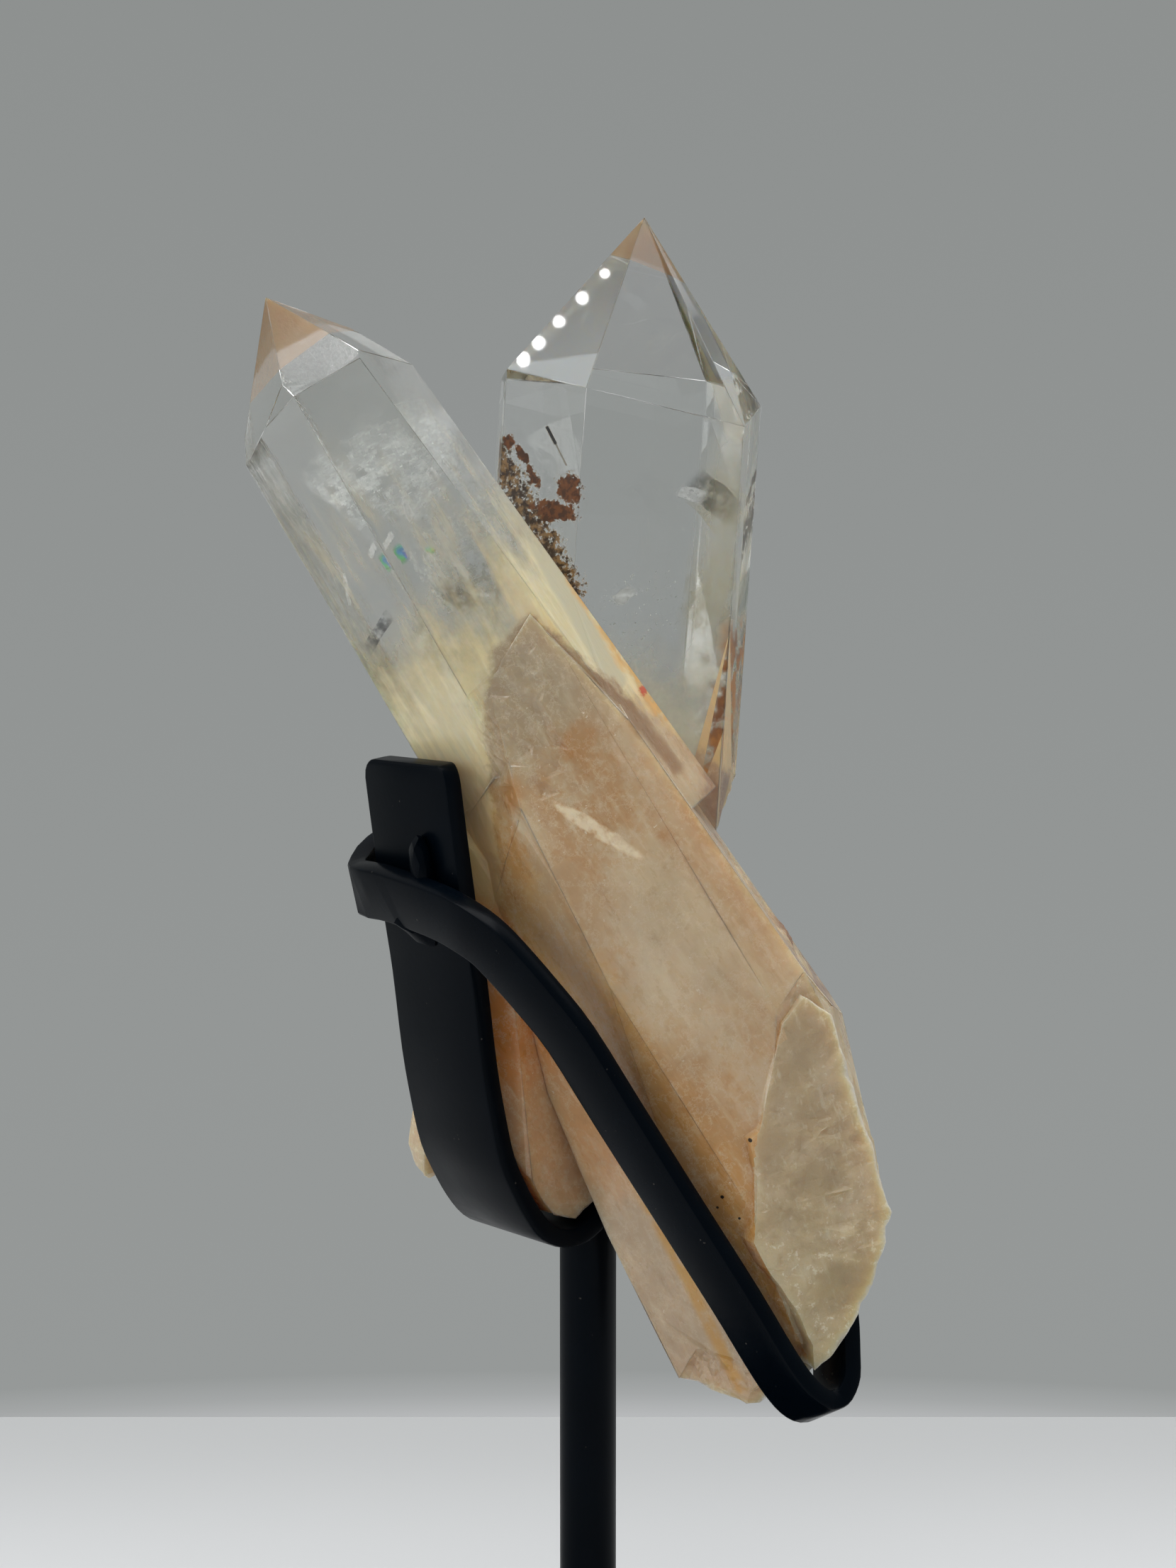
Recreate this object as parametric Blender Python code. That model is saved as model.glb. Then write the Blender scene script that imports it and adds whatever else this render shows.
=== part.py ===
"""Clear quartz twin tower in its steel display stand, as solids in metres, +Z up.

The origin is the centre of the base plate's underside, below the axis of the post. +X is the
viewer's right, +Y is away from the viewer. Lengths in the tables are millimetres.
"""

import math

import bmesh
import bpy
from mathutils import Matrix, Vector, noise

MM = 0.001
GAP = 0.3  # left between two pieces that touch, so that each stays a solid of its own

# The base plate and the post
BASE_SIDE = 110.0
BASE_THICK = 6.0
BASE_CHAMFER = 0.8
POST_RADIUS = 4.75

# The cradle: a flat bar 22.6 wide and 3.2 thick, bent to a U whose plane is turned to the viewer's left
STRAP_WIDE = 22.6
STRAP_THICK = 3.2
STRAP_TURN = math.radians(39.0)
STRAP_OFFSET = -6.0  # of the bar's middle from the post's axis, along the bar's width
STRAP_TOP_RADIUS = 3.4
# Inner side of the U from the left arm's top to the right arm's top: distance along the U, height
STRAP_INNER = (
    (-30.2, 177.0),
    (-29.0, 168.5),
    (-27.4, 158.1),
    (-26.1, 150.0),
    (-24.6, 141.5),
    (-22.8, 128.3),
    (-21.0, 119.3),
    (-19.3, 112.7),
    (-17.0, 107.9),
    (-14.4, 103.6),
    (-11.6, 100.4),
    (-8.6, 99.0),
    (-5.2, 99.1),
    (-2.0, 100.9),
    (1.2, 104.0),
    (4.8, 108.4),
    (8.4, 113.2),
    (11.4, 117.6),
    (13.6, 121.2),
)

# The holding band: a flat bar 9.5 wide and 3.2 thick, hammered round the stone and the left arm
BAND_WIDE = 9.5
BAND_THICK = 3.2
BAND_EDGE = 0.5
# Middle of the outer face, and the direction of the width towards the upper edge
BAND_STATIONS = (
    ((-38.7, -4.4, 154.7), (-0.08, -0.58, 0.80)),
    ((-33.6, -13.3, 154.4), (-0.08, -0.50, 0.86)),
    ((-28.5, -19.7, 153.6), (0.00, -0.55, 0.83)),
    ((-24.1, -24.3, 152.6), (0.07, -0.55, 0.83)),
    ((-20.4, -27.9, 151.2), (0.13, -0.54, 0.83)),
    ((-16.9, -30.0, 149.1), (0.23, -0.59, 0.77)),
    ((-13.7, -30.7, 146.0), (0.35, -0.65, 0.67)),
    ((-8.6, -30.8, 140.1), (0.45, -0.68, 0.57)),
    ((-3.5, -30.9, 133.6), (0.51, -0.69, 0.51)),
    ((3.7, -30.3, 121.8), (0.53, -0.69, 0.49)),
    ((12.9, -30.1, 107.0), (0.51, -0.70, 0.50)),
    ((22.1, -30.1, 92.3), (0.51, -0.70, 0.50)),
    ((27.7, -30.0, 82.8), (0.52, -0.71, 0.47)),
    ((30.8, -29.7, 78.1), (0.52, -0.71, 0.47)),
    ((33.6, -28.8, 74.9), (0.52, -0.71, 0.47)),
    ((36.4, -27.2, 73.2), (0.51, -0.72, 0.47)),
    ((39.3, -25.0, 73.6), (0.50, -0.71, 0.49)),
    ((41.0, -22.7, 76.6), (0.50, -0.71, 0.49)),
    ((41.3, -20.9, 80.7), (0.49, -0.71, 0.50)),
    ((41.3, -17.6, 86.5), (0.48, -0.71, 0.52)),
    ((40.4, -11.0, 96.0), (0.47, -0.70, 0.53)),
    ((36.8, 0.0, 109.6), (0.45, -0.68, 0.57)),
    ((28.6, 13.0, 124.5), (0.40, -0.66, 0.63)),
    ((15.6, 23.5, 139.0), (0.30, -0.62, 0.72)),
    ((-1.4, 28.0, 151.0), (0.18, -0.56, 0.80)),
    ((-17.2, 23.0, 159.0), (0.05, -0.55, 0.83)),
    ((-28.6, 13.0, 162.6), (-0.05, -0.58, 0.81)),
    ((-36.9, 4.6, 158.6), (-0.10, -0.60, 0.79)),
)
# Weld beads on the band: centre, half-lengths, lean about the viewing direction in degrees
WELD_BEADS = (
    ((-26.6, -18.9, 160.6), (2.1, 2.8, 4.6), -8.0),
    ((-26.6, -14.9, 149.2), (4.6, 1.8, 1.8), 27.0),
)

# Corners of the left point
LEFT_POINT = {
    "tip": (-50.9, -14.0, 250.0),
    "left knee": (-54.2, -13.0, 230.4),
    "left edge": (-53.6, -13.0, 225.6),
    "left low": (-29.7, -13.0, 181.0),
    "front left": (-45.1, -28.5, 233.7),
    "front right": (-35.0, -27.3, 239.6),
    "front left low": (-25.5, -26.5, 199.2),
    "front right low": (-7.7, -25.0, 202.0),
    "border right": (-34.8, -26.9, 240.6),
    "ridge foot": (-47.6, -25.6, 234.6),
    "chip foot": (-50.7, -21.0, 228.4),
    "right knee": (-26.7, -12.5, 239.3),
    "right low": (-2.9, -11.0, 203.8),
    "back left": (-48.3, 1.5, 235.3),
    "back right": (-37.4, 0.5, 241.6),
    "back left low": (-27.1, 2.0, 198.4),
    "back right low": (-8.1, 2.0, 201.4),
    "inside": (-30.0, -13.0, 215.0),
    "root left": (-14.0, -13.0, 152.0),
    "root right": (8.0, -13.0, 164.7),
    "root back": (-14.0, 0.0, 152.0),
}
LEFT_FACES = (
    ("front left", "front right", "front left low"),
    ("front left", "front left low", "left low"),
    ("front right", "front right low", "right knee"),
    ("left edge", "left low", "back left"),
    ("back left", "back right", "back left low"),
    ("back right", "back right low", "right low"),
    ("tip", "front left", "front right"),
    ("tip", "ridge foot", "left knee"),
    ("ridge foot", "front left", "chip foot"),
    ("tip", "border right", "right knee"),
    ("tip", "back left", "back right"),
    ("tip", "left knee", "back left"),
    ("root left", "root right", "root back"),
)

# Corners of the right point
RIGHT_POINT = {
    "tip": (9.3, 6.0, 264.9),
    "left foot": (-13.3, 1.3, 239.8),
    "left low": (-16.3, 1.0, 195.7),
    "ridge foot": (-0.3, -8.0, 236.2),
    "front low": (-2.5, -8.3, 204.7),
    "front right": (25.8, 4.2, 230.6),
    "right low": (23.6, 4.2, 195.6),
    "right back": (29.4, 17.0, 234.5),
    "right back low": (25.6, 17.0, 182.3),
    "back": (16.0, 25.0, 236.5),
    "back low": (12.0, 25.0, 190.0),
    "left back": (-14.6, 12.0, 238.7),
    "inside": (8.0, 6.0, 215.0),
    "root": (0.0, 0.0, 162.0),
    "root right": (20.0, 0.0, 162.0),
    "root back": (0.0, 20.0, 162.0),
    "heel back": (0.0, 26.0, 178.0),
    "heel back right": (20.0, 26.0, 178.0),
    "heel back low": (0.0, 15.0, 158.0),
    "heel right": (27.5, 0.0, 176.0),
    "heel right back": (27.5, 20.0, 176.0),
    "heel right low": (19.0, 0.0, 158.0),
}
RIGHT_FACES = (
    ("left foot", "ridge foot", "left low"),
    ("ridge foot", "front right", "front low"),
    ("front right", "right back", "right low"),
    ("right back", "right back low", "back"),
    ("back", "back low", "left back"),
    ("left foot", "left low", "left back"),
    ("tip", "left foot", "ridge foot"),
    ("tip", "ridge foot", "front right"),
    ("tip", "front right", "right back"),
    ("tip", "right back", "back"),
    ("tip", "back", "left back"),
    ("tip", "left back", "left foot"),
    ("root", "root right", "root back"),
    ("heel back", "heel back right", "heel back low"),
    ("heel right", "heel right back", "heel right low"),
)

# Corners of the front body, a broken crystal that lies before the two points
FRONT_BODY = {
    "peak": (-9.0, -25.0, 200.5),
    "left top": (-16.1, -24.6, 188.7),
    "left mid": (-15.9, -19.0, 168.2),
    "left low": (-12.5, -18.0, 153.4),
    "knee": (-10.5, -26.2, 170.0),
    "left foot": (4.0, -27.7, 140.8),
    "strip top": (-3.6, -26.0, 193.7),
    "strip low": (21.8, -28.6, 151.4),
    "outer top": (-0.3, -25.2, 193.6),
    "outer low": (33.7, -27.3, 144.9),
    "right top": (19.8, -12.0, 172.1),
    "right mid": (30.4, -12.5, 155.3),
    "right low": (39.4, -15.0, 137.2),
    "far right": (48.0, -21.0, 105.3),
    "right foot": (43.6, -25.5, 85.6),
    "toe": (36.0, -27.0, 79.7),
    "fracture top": (33.9, -27.3, 140.8),
    "fracture mid": (27.2, -30.5, 114.8),
    "left edge top": (-10.8, -16.5, 127.6),
    "left edge low": (15.3, -16.0, 74.3),
    "band high": (-3.8, -24.8, 132.8),
    "band low": (21.9, -23.9, 91.4),
    "bottom left": (15.3, -16.5, 73.9),
    "bottom right": (29.7, -26.0, 72.9),
    "bottom back": (22.0, -8.0, 75.0),
    "front low": (26.5, -30.2, 96.0),
    "heel": (30.0, -22.2, 76.0),
    "heel left": (10.0, -22.2, 76.0),
    "heel front": (30.0, -28.2, 86.0),
    "back low": (38.0, -26.6, 80.0),
    "back right": (46.0, -23.0, 100.0),
    "back left": (15.0, -9.0, 74.0),
    "back left low": (12.0, -8.5, 80.0),
    "seat low": (8.16, -5.9, 100.0),
    "seat low right": (23.7, 6.68, 100.0),
    "seat high": (-1.3, 1.94, 150.0),
    "top back": (-9.0, -10.0, 203.0),
    "behind": (0.0, 2.0, 150.0),
    "behind right": (20.0, 2.0, 150.0),
    "behind high": (0.0, 2.0, 180.0),
    "inside": (12.0, -18.0, 140.0),
}
FRONT_FACES = (
    ("strip top", "strip low", "front low"),
    ("knee", "left foot", "left low"),
    ("left top", "left mid", "knee"),
    ("strip top", "strip low", "outer low"),
    ("outer top", "outer low", "right low"),
    ("fracture top", "fracture mid", "far right"),
    ("left edge top", "left edge low", "band low"),
    ("bottom left", "bottom right", "bottom back"),
    ("heel", "heel left", "heel front"),
    ("left edge top", "left edge low", "back left low"),
    ("back low", "back right", "back left"),
    ("seat low", "seat low right", "seat high"),
    ("peak", "left top", "top back"),
    ("peak", "right top", "top back"),
    ("behind", "behind right", "behind high"),
)
# Upright planes that cut the front body's right side, each through two corners
FRONT_RIGHT_SIDE = (
    ("right top", "right mid"),
    ("right mid", "right low"),
    ("right low", "far right"),
    ("far right", "right foot"),
    ("right foot", "toe"),
)

# The rough plate that stands proud at the lower right of the front body, its front outline
PLATE_OUTLINE = (
    (33.8, -28.6, 141.0),
    (30.2, -29.6, 136.6),
    (29.3, -30.0, 132.1),
    (27.4, -30.6, 123.6),
    (26.8, -30.8, 120.0),
    (25.2, -30.9, 118.6),
    (26.4, -30.8, 112.7),
    (26.4, -30.8, 107.1),
    (25.8, -31.0, 102.1),
    (28.0, -30.9, 97.9),
    (32.6, -30.4, 91.7),
    (35.3, -30.0, 85.4),
    (35.7, -29.6, 81.3),
    (38.3, -29.2, 83.3),
    (42.2, -28.4, 88.5),
    (44.5, -27.6, 94.9),
    (47.1, -27.0, 101.4),
    (47.7, -26.6, 106.1),
    (46.7, -26.4, 111.2),
    (44.7, -26.4, 117.2),
    (42.6, -26.4, 122.7),
    (40.6, -26.8, 131.1),
    (38.3, -27.4, 137.9),
)
PLATE_DEPTH = 3.6

# The part of the cluster that rests in the cradle: section along the U, height
SADDLE_SECTION = (
    (-27.4, 163.0),
    (-25.0, 149.0),
    (-23.2, 139.0),
    (-21.6, 127.0),
    (-19.6, 117.6),
    (-16.6, 110.0),
    (-13.4, 104.8),
    (-10.6, 101.4),
    (-6.2, 100.2),
    (-2.6, 102.4),
    (1.4, 106.0),
    (7.4, 113.6),
    (13.6, 122.8),
    (22.0, 139.0),
    (25.0, 163.0),
    (20.0, 176.0),
    (-18.0, 176.0),
)
SADDLE_BACK = -20.6
SADDLE_FRONT = 4.4
# Planes that trim it at the back, at the right and below its back, each through three corners
SADDLE_CUTS = (
    ((0.0, 20.0, 150.0), (10.0, 20.0, 150.0), (0.0, 20.0, 160.0)),
    ((21.5, 0.0, 172.0), (21.5, 20.0, 172.0), (36.0, 0.0, 140.0)),
    ((0.0, 20.0, 150.0), (10.0, 20.0, 148.0), (0.0, 12.0, 128.0)),
    ((-19.0, -21.0, 157.0), (2.8, -3.4, 165.0), (-26.8, -11.4, 172.0)),
    ((-10.8, -14.3, 125.4), (-9.6, -13.4, 113.6), (-17.0, -12.0, 121.0)),
)
SADDLE_INSIDE = (0.0, 2.0, 150.0)

# The small lump at the back left: centre, half-lengths, lean in degrees
REAR_LUMP = ((-25.4, 8.4, 112.2), (5.6, 5.6, 8.8), 10.0)

# Broken and weathered areas: centre, half-lengths, height of the relief
ROUGH_AREAS = (
    ((-11.0, -26.0, 182.0), (6.5, 6.0, 14.0), 0.45),
    ((30.0, -11.0, 156.0), (12.0, 9.0, 22.0), 0.8),
    ((41.0, -24.0, 108.0), (15.0, 13.0, 33.0), 0.9),
    ((22.0, -20.0, 73.0), (13.0, 11.0, 7.0), 1.1),
    ((0.0, 14.0, 140.0), (40.0, 16.0, 44.0), 1.0),
    ((-22.0, 2.0, 116.0), (16.0, 14.0, 16.0), 0.8),
)
ROUGH_EDGE = 4.3  # longest edge left in a rough area


def vec(point):
    """A point of the tables in metres."""
    return Vector(point) * MM


def clear_scene():
    for obj in list(bpy.data.objects):
        bpy.data.objects.remove(obj, do_unlink=True)


def material(name, colour, roughness, metallic=0.0, transmission=0.0, coat=0.0):
    made = bpy.data.materials.new(name)
    made.use_nodes = True
    shader = made.node_tree.nodes["Principled BSDF"]
    shader.inputs["Base Color"].default_value = (*colour, 1.0)
    shader.inputs["Roughness"].default_value = roughness
    shader.inputs["Metallic"].default_value = metallic
    shader.inputs["Transmission Weight"].default_value = transmission
    shader.inputs["Coat Weight"].default_value = coat
    shader.inputs["IOR"].default_value = 1.54
    made.diffuse_color = (*colour, 1.0)
    return made


def object_from(bm, name, surface=None):
    """Puts the mesh in the scene under this name, faces outwards."""
    bmesh.ops.recalc_face_normals(bm, faces=bm.faces[:])
    mesh = bpy.data.meshes.new(name)
    bm.to_mesh(mesh)
    bm.free()
    obj = bpy.data.objects.new(name, mesh)
    bpy.context.scene.collection.objects.link(obj)
    if surface:
        mesh.materials.append(surface)
    return obj


def cut(bm, a, b, c, inside):
    """Cuts the block along the plane through three points and keeps the side of the inside point."""
    normal = (b - a).cross(c - a).normalized()
    if normal.dot(inside - a) > 0:
        normal.negate()
    everything = bm.verts[:] + bm.edges[:] + bm.faces[:]
    bmesh.ops.bisect_plane(
        bm, geom=everything, dist=1e-7, plane_co=a, plane_no=normal, clear_outer=True
    )
    rim = [edge for edge in bm.edges if edge.is_boundary]
    if rim:
        bmesh.ops.holes_fill(bm, edges=rim, sides=0)


def crystal(corners, faces):
    """A block cut flat along each face, as a lapidary cuts it."""
    bm = bmesh.new()
    inside = vec(corners["inside"])
    bmesh.ops.create_cube(bm, size=0.4, matrix=Matrix.Translation(inside))
    for names in faces:
        a, b, c = (vec(corners[name]) for name in names)
        cut(bm, a, b, c, inside)
    return bm


def smooth_path(points, steps):
    """Catmull-Rom points through the given ones."""
    found = []
    last = len(points) - 1
    for i in range(last):
        before = points[max(i - 1, 0)]
        start = points[i]
        end = points[i + 1]
        after = points[min(i + 2, last)]
        for step in range(steps):
            t = step / steps
            found.append(
                0.5
                * (
                    2 * start
                    + (end - before) * t
                    + (2 * before - 5 * start + 4 * end - after) * t * t
                    + (3 * start - before - 3 * end + after) * t * t * t
                )
            )
    found.append(points[last].copy())
    return found


def smooth_ring(points, steps):
    """Catmull-Rom points round a closed path."""
    count = len(points)
    wrapped = [points[-1]] + list(points) + [points[0], points[1]]
    return smooth_path(wrapped, steps)[steps : steps + count * steps]


def bar_section(wide, thick, edge):
    """Corners of a flat bar's section with small round edges: across the width, across the thickness."""
    found = []
    for side_w, side_t in ((1, 1), (-1, 1), (-1, -1), (1, -1)):
        start = math.atan2(side_t, side_w) - math.pi / 4
        for step in range(3):
            angle = start + step * math.pi / 4
            found.append(
                (
                    side_w * (wide / 2 - edge) + edge * math.cos(angle),
                    side_t * (thick / 2 - edge) + edge * math.sin(angle),
                )
            )
    return found


def sweep(sections, closed):
    """Joins one ring of points to the next, with caps on an open bar."""
    bm = bmesh.new()
    rings = [[bm.verts.new(point) for point in ring] for ring in sections]
    size = len(rings[0])
    pairs = list(zip(rings, rings[1:]))
    if closed:
        pairs.append((rings[-1], rings[0]))
    for one, two in pairs:
        for k in range(size):
            after = (k + 1) % size
            bm.faces.new((one[k], one[after], two[after], two[k]))
    if not closed:
        bm.faces.new(rings[0])
        bm.faces.new(rings[-1])
    return bm


def along_u(distance, width, height):
    """A point given along the U, along the bar's width and upwards, in metres."""
    u = Vector((math.cos(STRAP_TURN), math.sin(STRAP_TURN), 0.0))
    w = Vector((math.sin(STRAP_TURN), -math.cos(STRAP_TURN), 0.0))
    return (u * distance + w * width + Vector((0.0, 0.0, height))) * MM


def strap_stations():
    """Middle line of the bar's thickness in the U's plane, with its outward direction."""
    points = smooth_path([Vector((d, h)) for d, h in STRAP_INNER], 3)
    found = []
    for i, point in enumerate(points):
        run = (points[min(i + 1, len(points) - 1)] - points[max(i - 1, 0)]).normalized()
        out = Vector((run.y, -run.x))
        found.append((point, out))
    return found


def top_narrowing(run_down):
    """How far each side of the bar is drawn in this far below its rounded end."""
    if run_down >= STRAP_TOP_RADIUS:
        return 0.0
    drop = STRAP_TOP_RADIUS - run_down
    return STRAP_TOP_RADIUS - math.sqrt(max(STRAP_TOP_RADIUS**2 - drop**2, 0.0))


def cradle_strap():
    stations = strap_stations()
    first = stations[0][0]
    down = (stations[1][0] - first).normalized()
    tops = [(first + down * d, stations[0][1]) for d in (0.0, 0.15, 0.5, 1.1, 2.0, 3.3)]
    rest = [s for s in stations if (s[0] - first).length > STRAP_TOP_RADIUS + 0.4]
    sections = []
    for point, out in tops + rest:
        run_down = (point - first).length
        far = top_narrowing(run_down) if run_down < 20 else 0.0
        near = min(far * 0.5, 3.0)
        middle = STRAP_OFFSET + (far - near) / 2
        half = STRAP_WIDE / 2 - (far + near) / 2
        ring = []
        for across, through in bar_section(2 * half, STRAP_THICK, 0.5):
            place = point + out * (STRAP_THICK / 2 + through)
            ring.append(along_u(place.x, middle + across, place.y))
        sections.append(ring)
    return object_from(
        sweep(sections, closed=False),
        "cradle_strap",
        material("cradle_paint", (0.012, 0.015, 0.022), 0.38),
    )


def lump(bm, centre, halves, lean, relief, seed):
    """Adds a hand-formed lump: an icosphere, stretched, leaned and roughened."""
    made = bmesh.ops.create_icosphere(bm, subdivisions=2, radius=1.0)
    turn = Matrix.Rotation(math.radians(lean), 4, "Y")
    for vert in made["verts"]:
        along = vert.co.copy()
        bump = 1.0 + relief * noise.noise(along * 1.7 + Vector((seed, 0.0, 0.0)))
        shape = Vector(a * b for a, b in zip(along * bump, halves))
        vert.co = (turn @ shape + Vector(centre)) * MM


def union(target, other):
    """Joins the other mesh into the target with an exact Boolean, then drops the other."""
    join = target.modifiers.new("join", "BOOLEAN")
    join.operation = "UNION"
    join.solver = "EXACT"
    join.object = other
    apply_modifiers(target)
    bpy.data.objects.remove(other, do_unlink=True)


def subtract(target, cutter):
    carve = target.modifiers.new("carve", "BOOLEAN")
    carve.operation = "DIFFERENCE"
    carve.solver = "EXACT"
    carve.object = cutter
    apply_modifiers(target)
    bpy.data.objects.remove(cutter, do_unlink=True)


def apply_modifiers(obj):
    """Replaces the object's mesh with what its modifiers make of it."""
    graph = bpy.context.evaluated_depsgraph_get()
    evaluated = obj.evaluated_get(graph)
    mesh = bpy.data.meshes.new_from_object(evaluated, depsgraph=graph)
    old = obj.data
    obj.modifiers.clear()
    obj.data = mesh
    mesh.name = obj.name
    bpy.data.meshes.remove(old)


def band_sections(wide, thick, edge):
    """Rings of the band's section round its closed path."""
    faces = smooth_ring([Vector(place) for place, _ in BAND_STATIONS], 3)
    widths = smooth_ring([Vector(wide_way) for _, wide_way in BAND_STATIONS], 3)
    count = len(faces)
    sections = []
    for i, place in enumerate(faces):
        run = (faces[(i + 1) % count] - faces[i - 1]).normalized()
        across = widths[i] - run * widths[i].dot(run)
        across.normalize()
        out = run.cross(across).normalized()
        middle = place - out * BAND_THICK / 2
        sections.append(
            [(middle + across * a + out * b) * MM for a, b in bar_section(wide, thick, edge)]
        )
    return sections


def holding_band():
    band = object_from(
        sweep(band_sections(BAND_WIDE, BAND_THICK, BAND_EDGE), closed=True),
        "holding_band",
        material("band_paint", (0.012, 0.015, 0.022), 0.34),
    )
    for index, (centre, halves, lean) in enumerate(WELD_BEADS):
        bm = bmesh.new()
        lump(bm, centre, halves, lean, 0.25, 3.0 + index)
        union(band, object_from(bm, f"bead_{index}"))
    subtract(band, grown_strap())
    return band


def grown_strap():
    """The cradle's left arm made larger by the gap, to keep the welds clear of it."""
    sections = []
    for point, out in strap_stations()[:30]:
        ring = []
        for across, through in bar_section(STRAP_WIDE + 2 * GAP, STRAP_THICK + 2 * GAP, 0.5):
            place = point + out * (STRAP_THICK / 2 + through)
            ring.append(along_u(place.x, STRAP_OFFSET + across, place.y))
        sections.append(ring)
    return object_from(sweep(sections, closed=False), "weld_cutter")


def post_and_base():
    bm = bmesh.new()
    bmesh.ops.create_cube(bm, size=1.0)
    bmesh.ops.scale(bm, vec=vec((BASE_SIDE, BASE_SIDE, BASE_THICK)), verts=bm.verts)
    bmesh.ops.translate(bm, vec=vec((0.0, 0.0, BASE_THICK / 2)), verts=bm.verts)
    rim = [e for e in bm.edges if all(v.co.z > BASE_THICK * MM / 2 for v in e.verts)]
    upright = [e for e in bm.edges if abs(e.verts[0].co.z - e.verts[1].co.z) > 1e-4]
    bmesh.ops.bevel(
        bm,
        geom=rim + upright,
        offset=BASE_CHAMFER * MM,
        segments=2,
        profile=0.5,
        affect="EDGES",
    )
    object_from(bm, "base_plate", material("base_paint", (0.012, 0.015, 0.022), 0.4))

    low = BASE_THICK + GAP
    high = 116.0
    bm = bmesh.new()
    bmesh.ops.create_cone(
        bm,
        cap_ends=True,
        segments=48,
        radius1=POST_RADIUS * MM,
        radius2=POST_RADIUS * MM,
        depth=(high - low) * MM,
        matrix=Matrix.Translation(vec((0.0, 0.0, (low + high) / 2))),
    )
    post = object_from(bm, "post", material("post_paint", (0.012, 0.015, 0.022), 0.36))
    subtract(post, post_cutter())


def post_cutter():
    """Everything above the underside of the U, so that the post's top fits the bend."""
    edge = []
    for point, out in strap_stations():
        place = point + out * (STRAP_THICK + GAP)
        if -16.0 < place.x < 18.0 and point.y < 122.0:
            edge.append(place)
    section = edge + [Vector((18.0, 160.0)), Vector((-18.0, 160.0))]
    bm = bmesh.new()
    rings = []
    for width in (-24.0, 12.0):
        rings.append([bm.verts.new(along_u(p.x, width, p.y)) for p in section])
    size = len(section)
    for k in range(size):
        after = (k + 1) % size
        bm.faces.new((rings[0][k], rings[0][after], rings[1][after], rings[1][k]))
    bm.faces.new(rings[0])
    bm.faces.new(rings[1])
    return object_from(bm, "post_cutter")


def front_body():
    bm = crystal(FRONT_BODY, FRONT_FACES)
    inside = vec(FRONT_BODY["inside"])
    for top, low in FRONT_RIGHT_SIDE:
        a = vec(FRONT_BODY[top])
        b = vec(FRONT_BODY[low])
        cut(bm, a, b, a + Vector((0.004, 0.03, 0.0)), inside)
    return object_from(bm, "quartz_twin_tower", quartz_material())


def quartz_material():
    return material("quartz", (0.93, 0.86, 0.78), 0.06, transmission=0.9)


def rough_plate():
    bm = bmesh.new()
    front = [bm.verts.new(vec(point)) for point in PLATE_OUTLINE]
    face = bm.faces.new(front)
    made = bmesh.ops.extrude_face_region(bm, geom=[face])
    moved = [item for item in made["geom"] if isinstance(item, bmesh.types.BMVert)]
    bmesh.ops.translate(bm, vec=vec((-2.2, PLATE_DEPTH, 0.6)), verts=moved)
    bmesh.ops.triangulate(bm, faces=bm.faces[:])
    return object_from(bm, "plate")


def saddle():
    bm = bmesh.new()
    rings = []
    for width in (SADDLE_BACK, SADDLE_FRONT):
        rings.append([bm.verts.new(along_u(d, width, h)) for d, h in SADDLE_SECTION])
    size = len(SADDLE_SECTION)
    for k in range(size):
        after = (k + 1) % size
        bm.faces.new((rings[0][k], rings[0][after], rings[1][after], rings[1][k]))
    bm.faces.new(rings[0])
    bm.faces.new(rings[1])
    for a, b, c in SADDLE_CUTS:
        cut(bm, vec(a), vec(b), vec(c), vec(SADDLE_INSIDE))
    return object_from(bm, "saddle")


def roughness_at(place):
    """Height of the relief here in millimetres, fading to none at the edge of each rough area."""
    most = 0.0
    for centre, halves, height in ROUGH_AREAS:
        apart = [(p / MM - c) / h for p, c, h in zip(place, centre, halves)]
        reach = math.sqrt(sum(a * a for a in apart))
        fade = min(max((1.0 - reach) / 0.3, 0.0), 1.0)
        most = max(most, fade * height)
    return most


def roughen(obj):
    """Divides the broken areas into small facets and moves them in and out."""
    bm = bmesh.new()
    bm.from_mesh(obj.data)
    bmesh.ops.triangulate(bm, faces=bm.faces[:])
    for _ in range(6):
        long_ones = [
            e
            for e in bm.edges
            if e.calc_length() > ROUGH_EDGE * MM
            and max(
                roughness_at(e.verts[0].co),
                roughness_at(e.verts[1].co),
                roughness_at((e.verts[0].co + e.verts[1].co) / 2),
            )
            > 0.02
        ]
        if not long_ones:
            break
        bmesh.ops.subdivide_edges(bm, edges=long_ones, cuts=1)
        bmesh.ops.triangulate(bm, faces=bm.faces[:])
    bm.normal_update()
    moves = []
    for vert in bm.verts:
        height = roughness_at(vert.co)
        if height > 0.0:
            at = vert.co / MM
            coarse = noise.noise(at * 0.16)
            fine = noise.noise(at * 0.42 + Vector((9.0, 2.0, 5.0)))
            moves.append((vert, vert.normal * height * (coarse + 0.6 * fine) * MM))
    for vert, move in moves:
        vert.co += move
    old = obj.data
    bm.to_mesh(old)
    bm.free()


def quartz():
    stone = front_body()
    union(stone, rough_plate())
    union(stone, saddle())
    bm = bmesh.new()
    centre, halves, lean = REAR_LUMP
    lump(bm, centre, halves, lean, 0.35, 1.0)
    union(stone, object_from(bm, "rear_lump"))
    union(stone, object_from(crystal(LEFT_POINT, LEFT_FACES), "left_point"))
    union(stone, object_from(crystal(RIGHT_POINT, RIGHT_FACES), "right_point"))
    roughen(stone)
    return stone


clear_scene()
quartz()
cradle_strap()
holding_band()
post_and_base()
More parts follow.
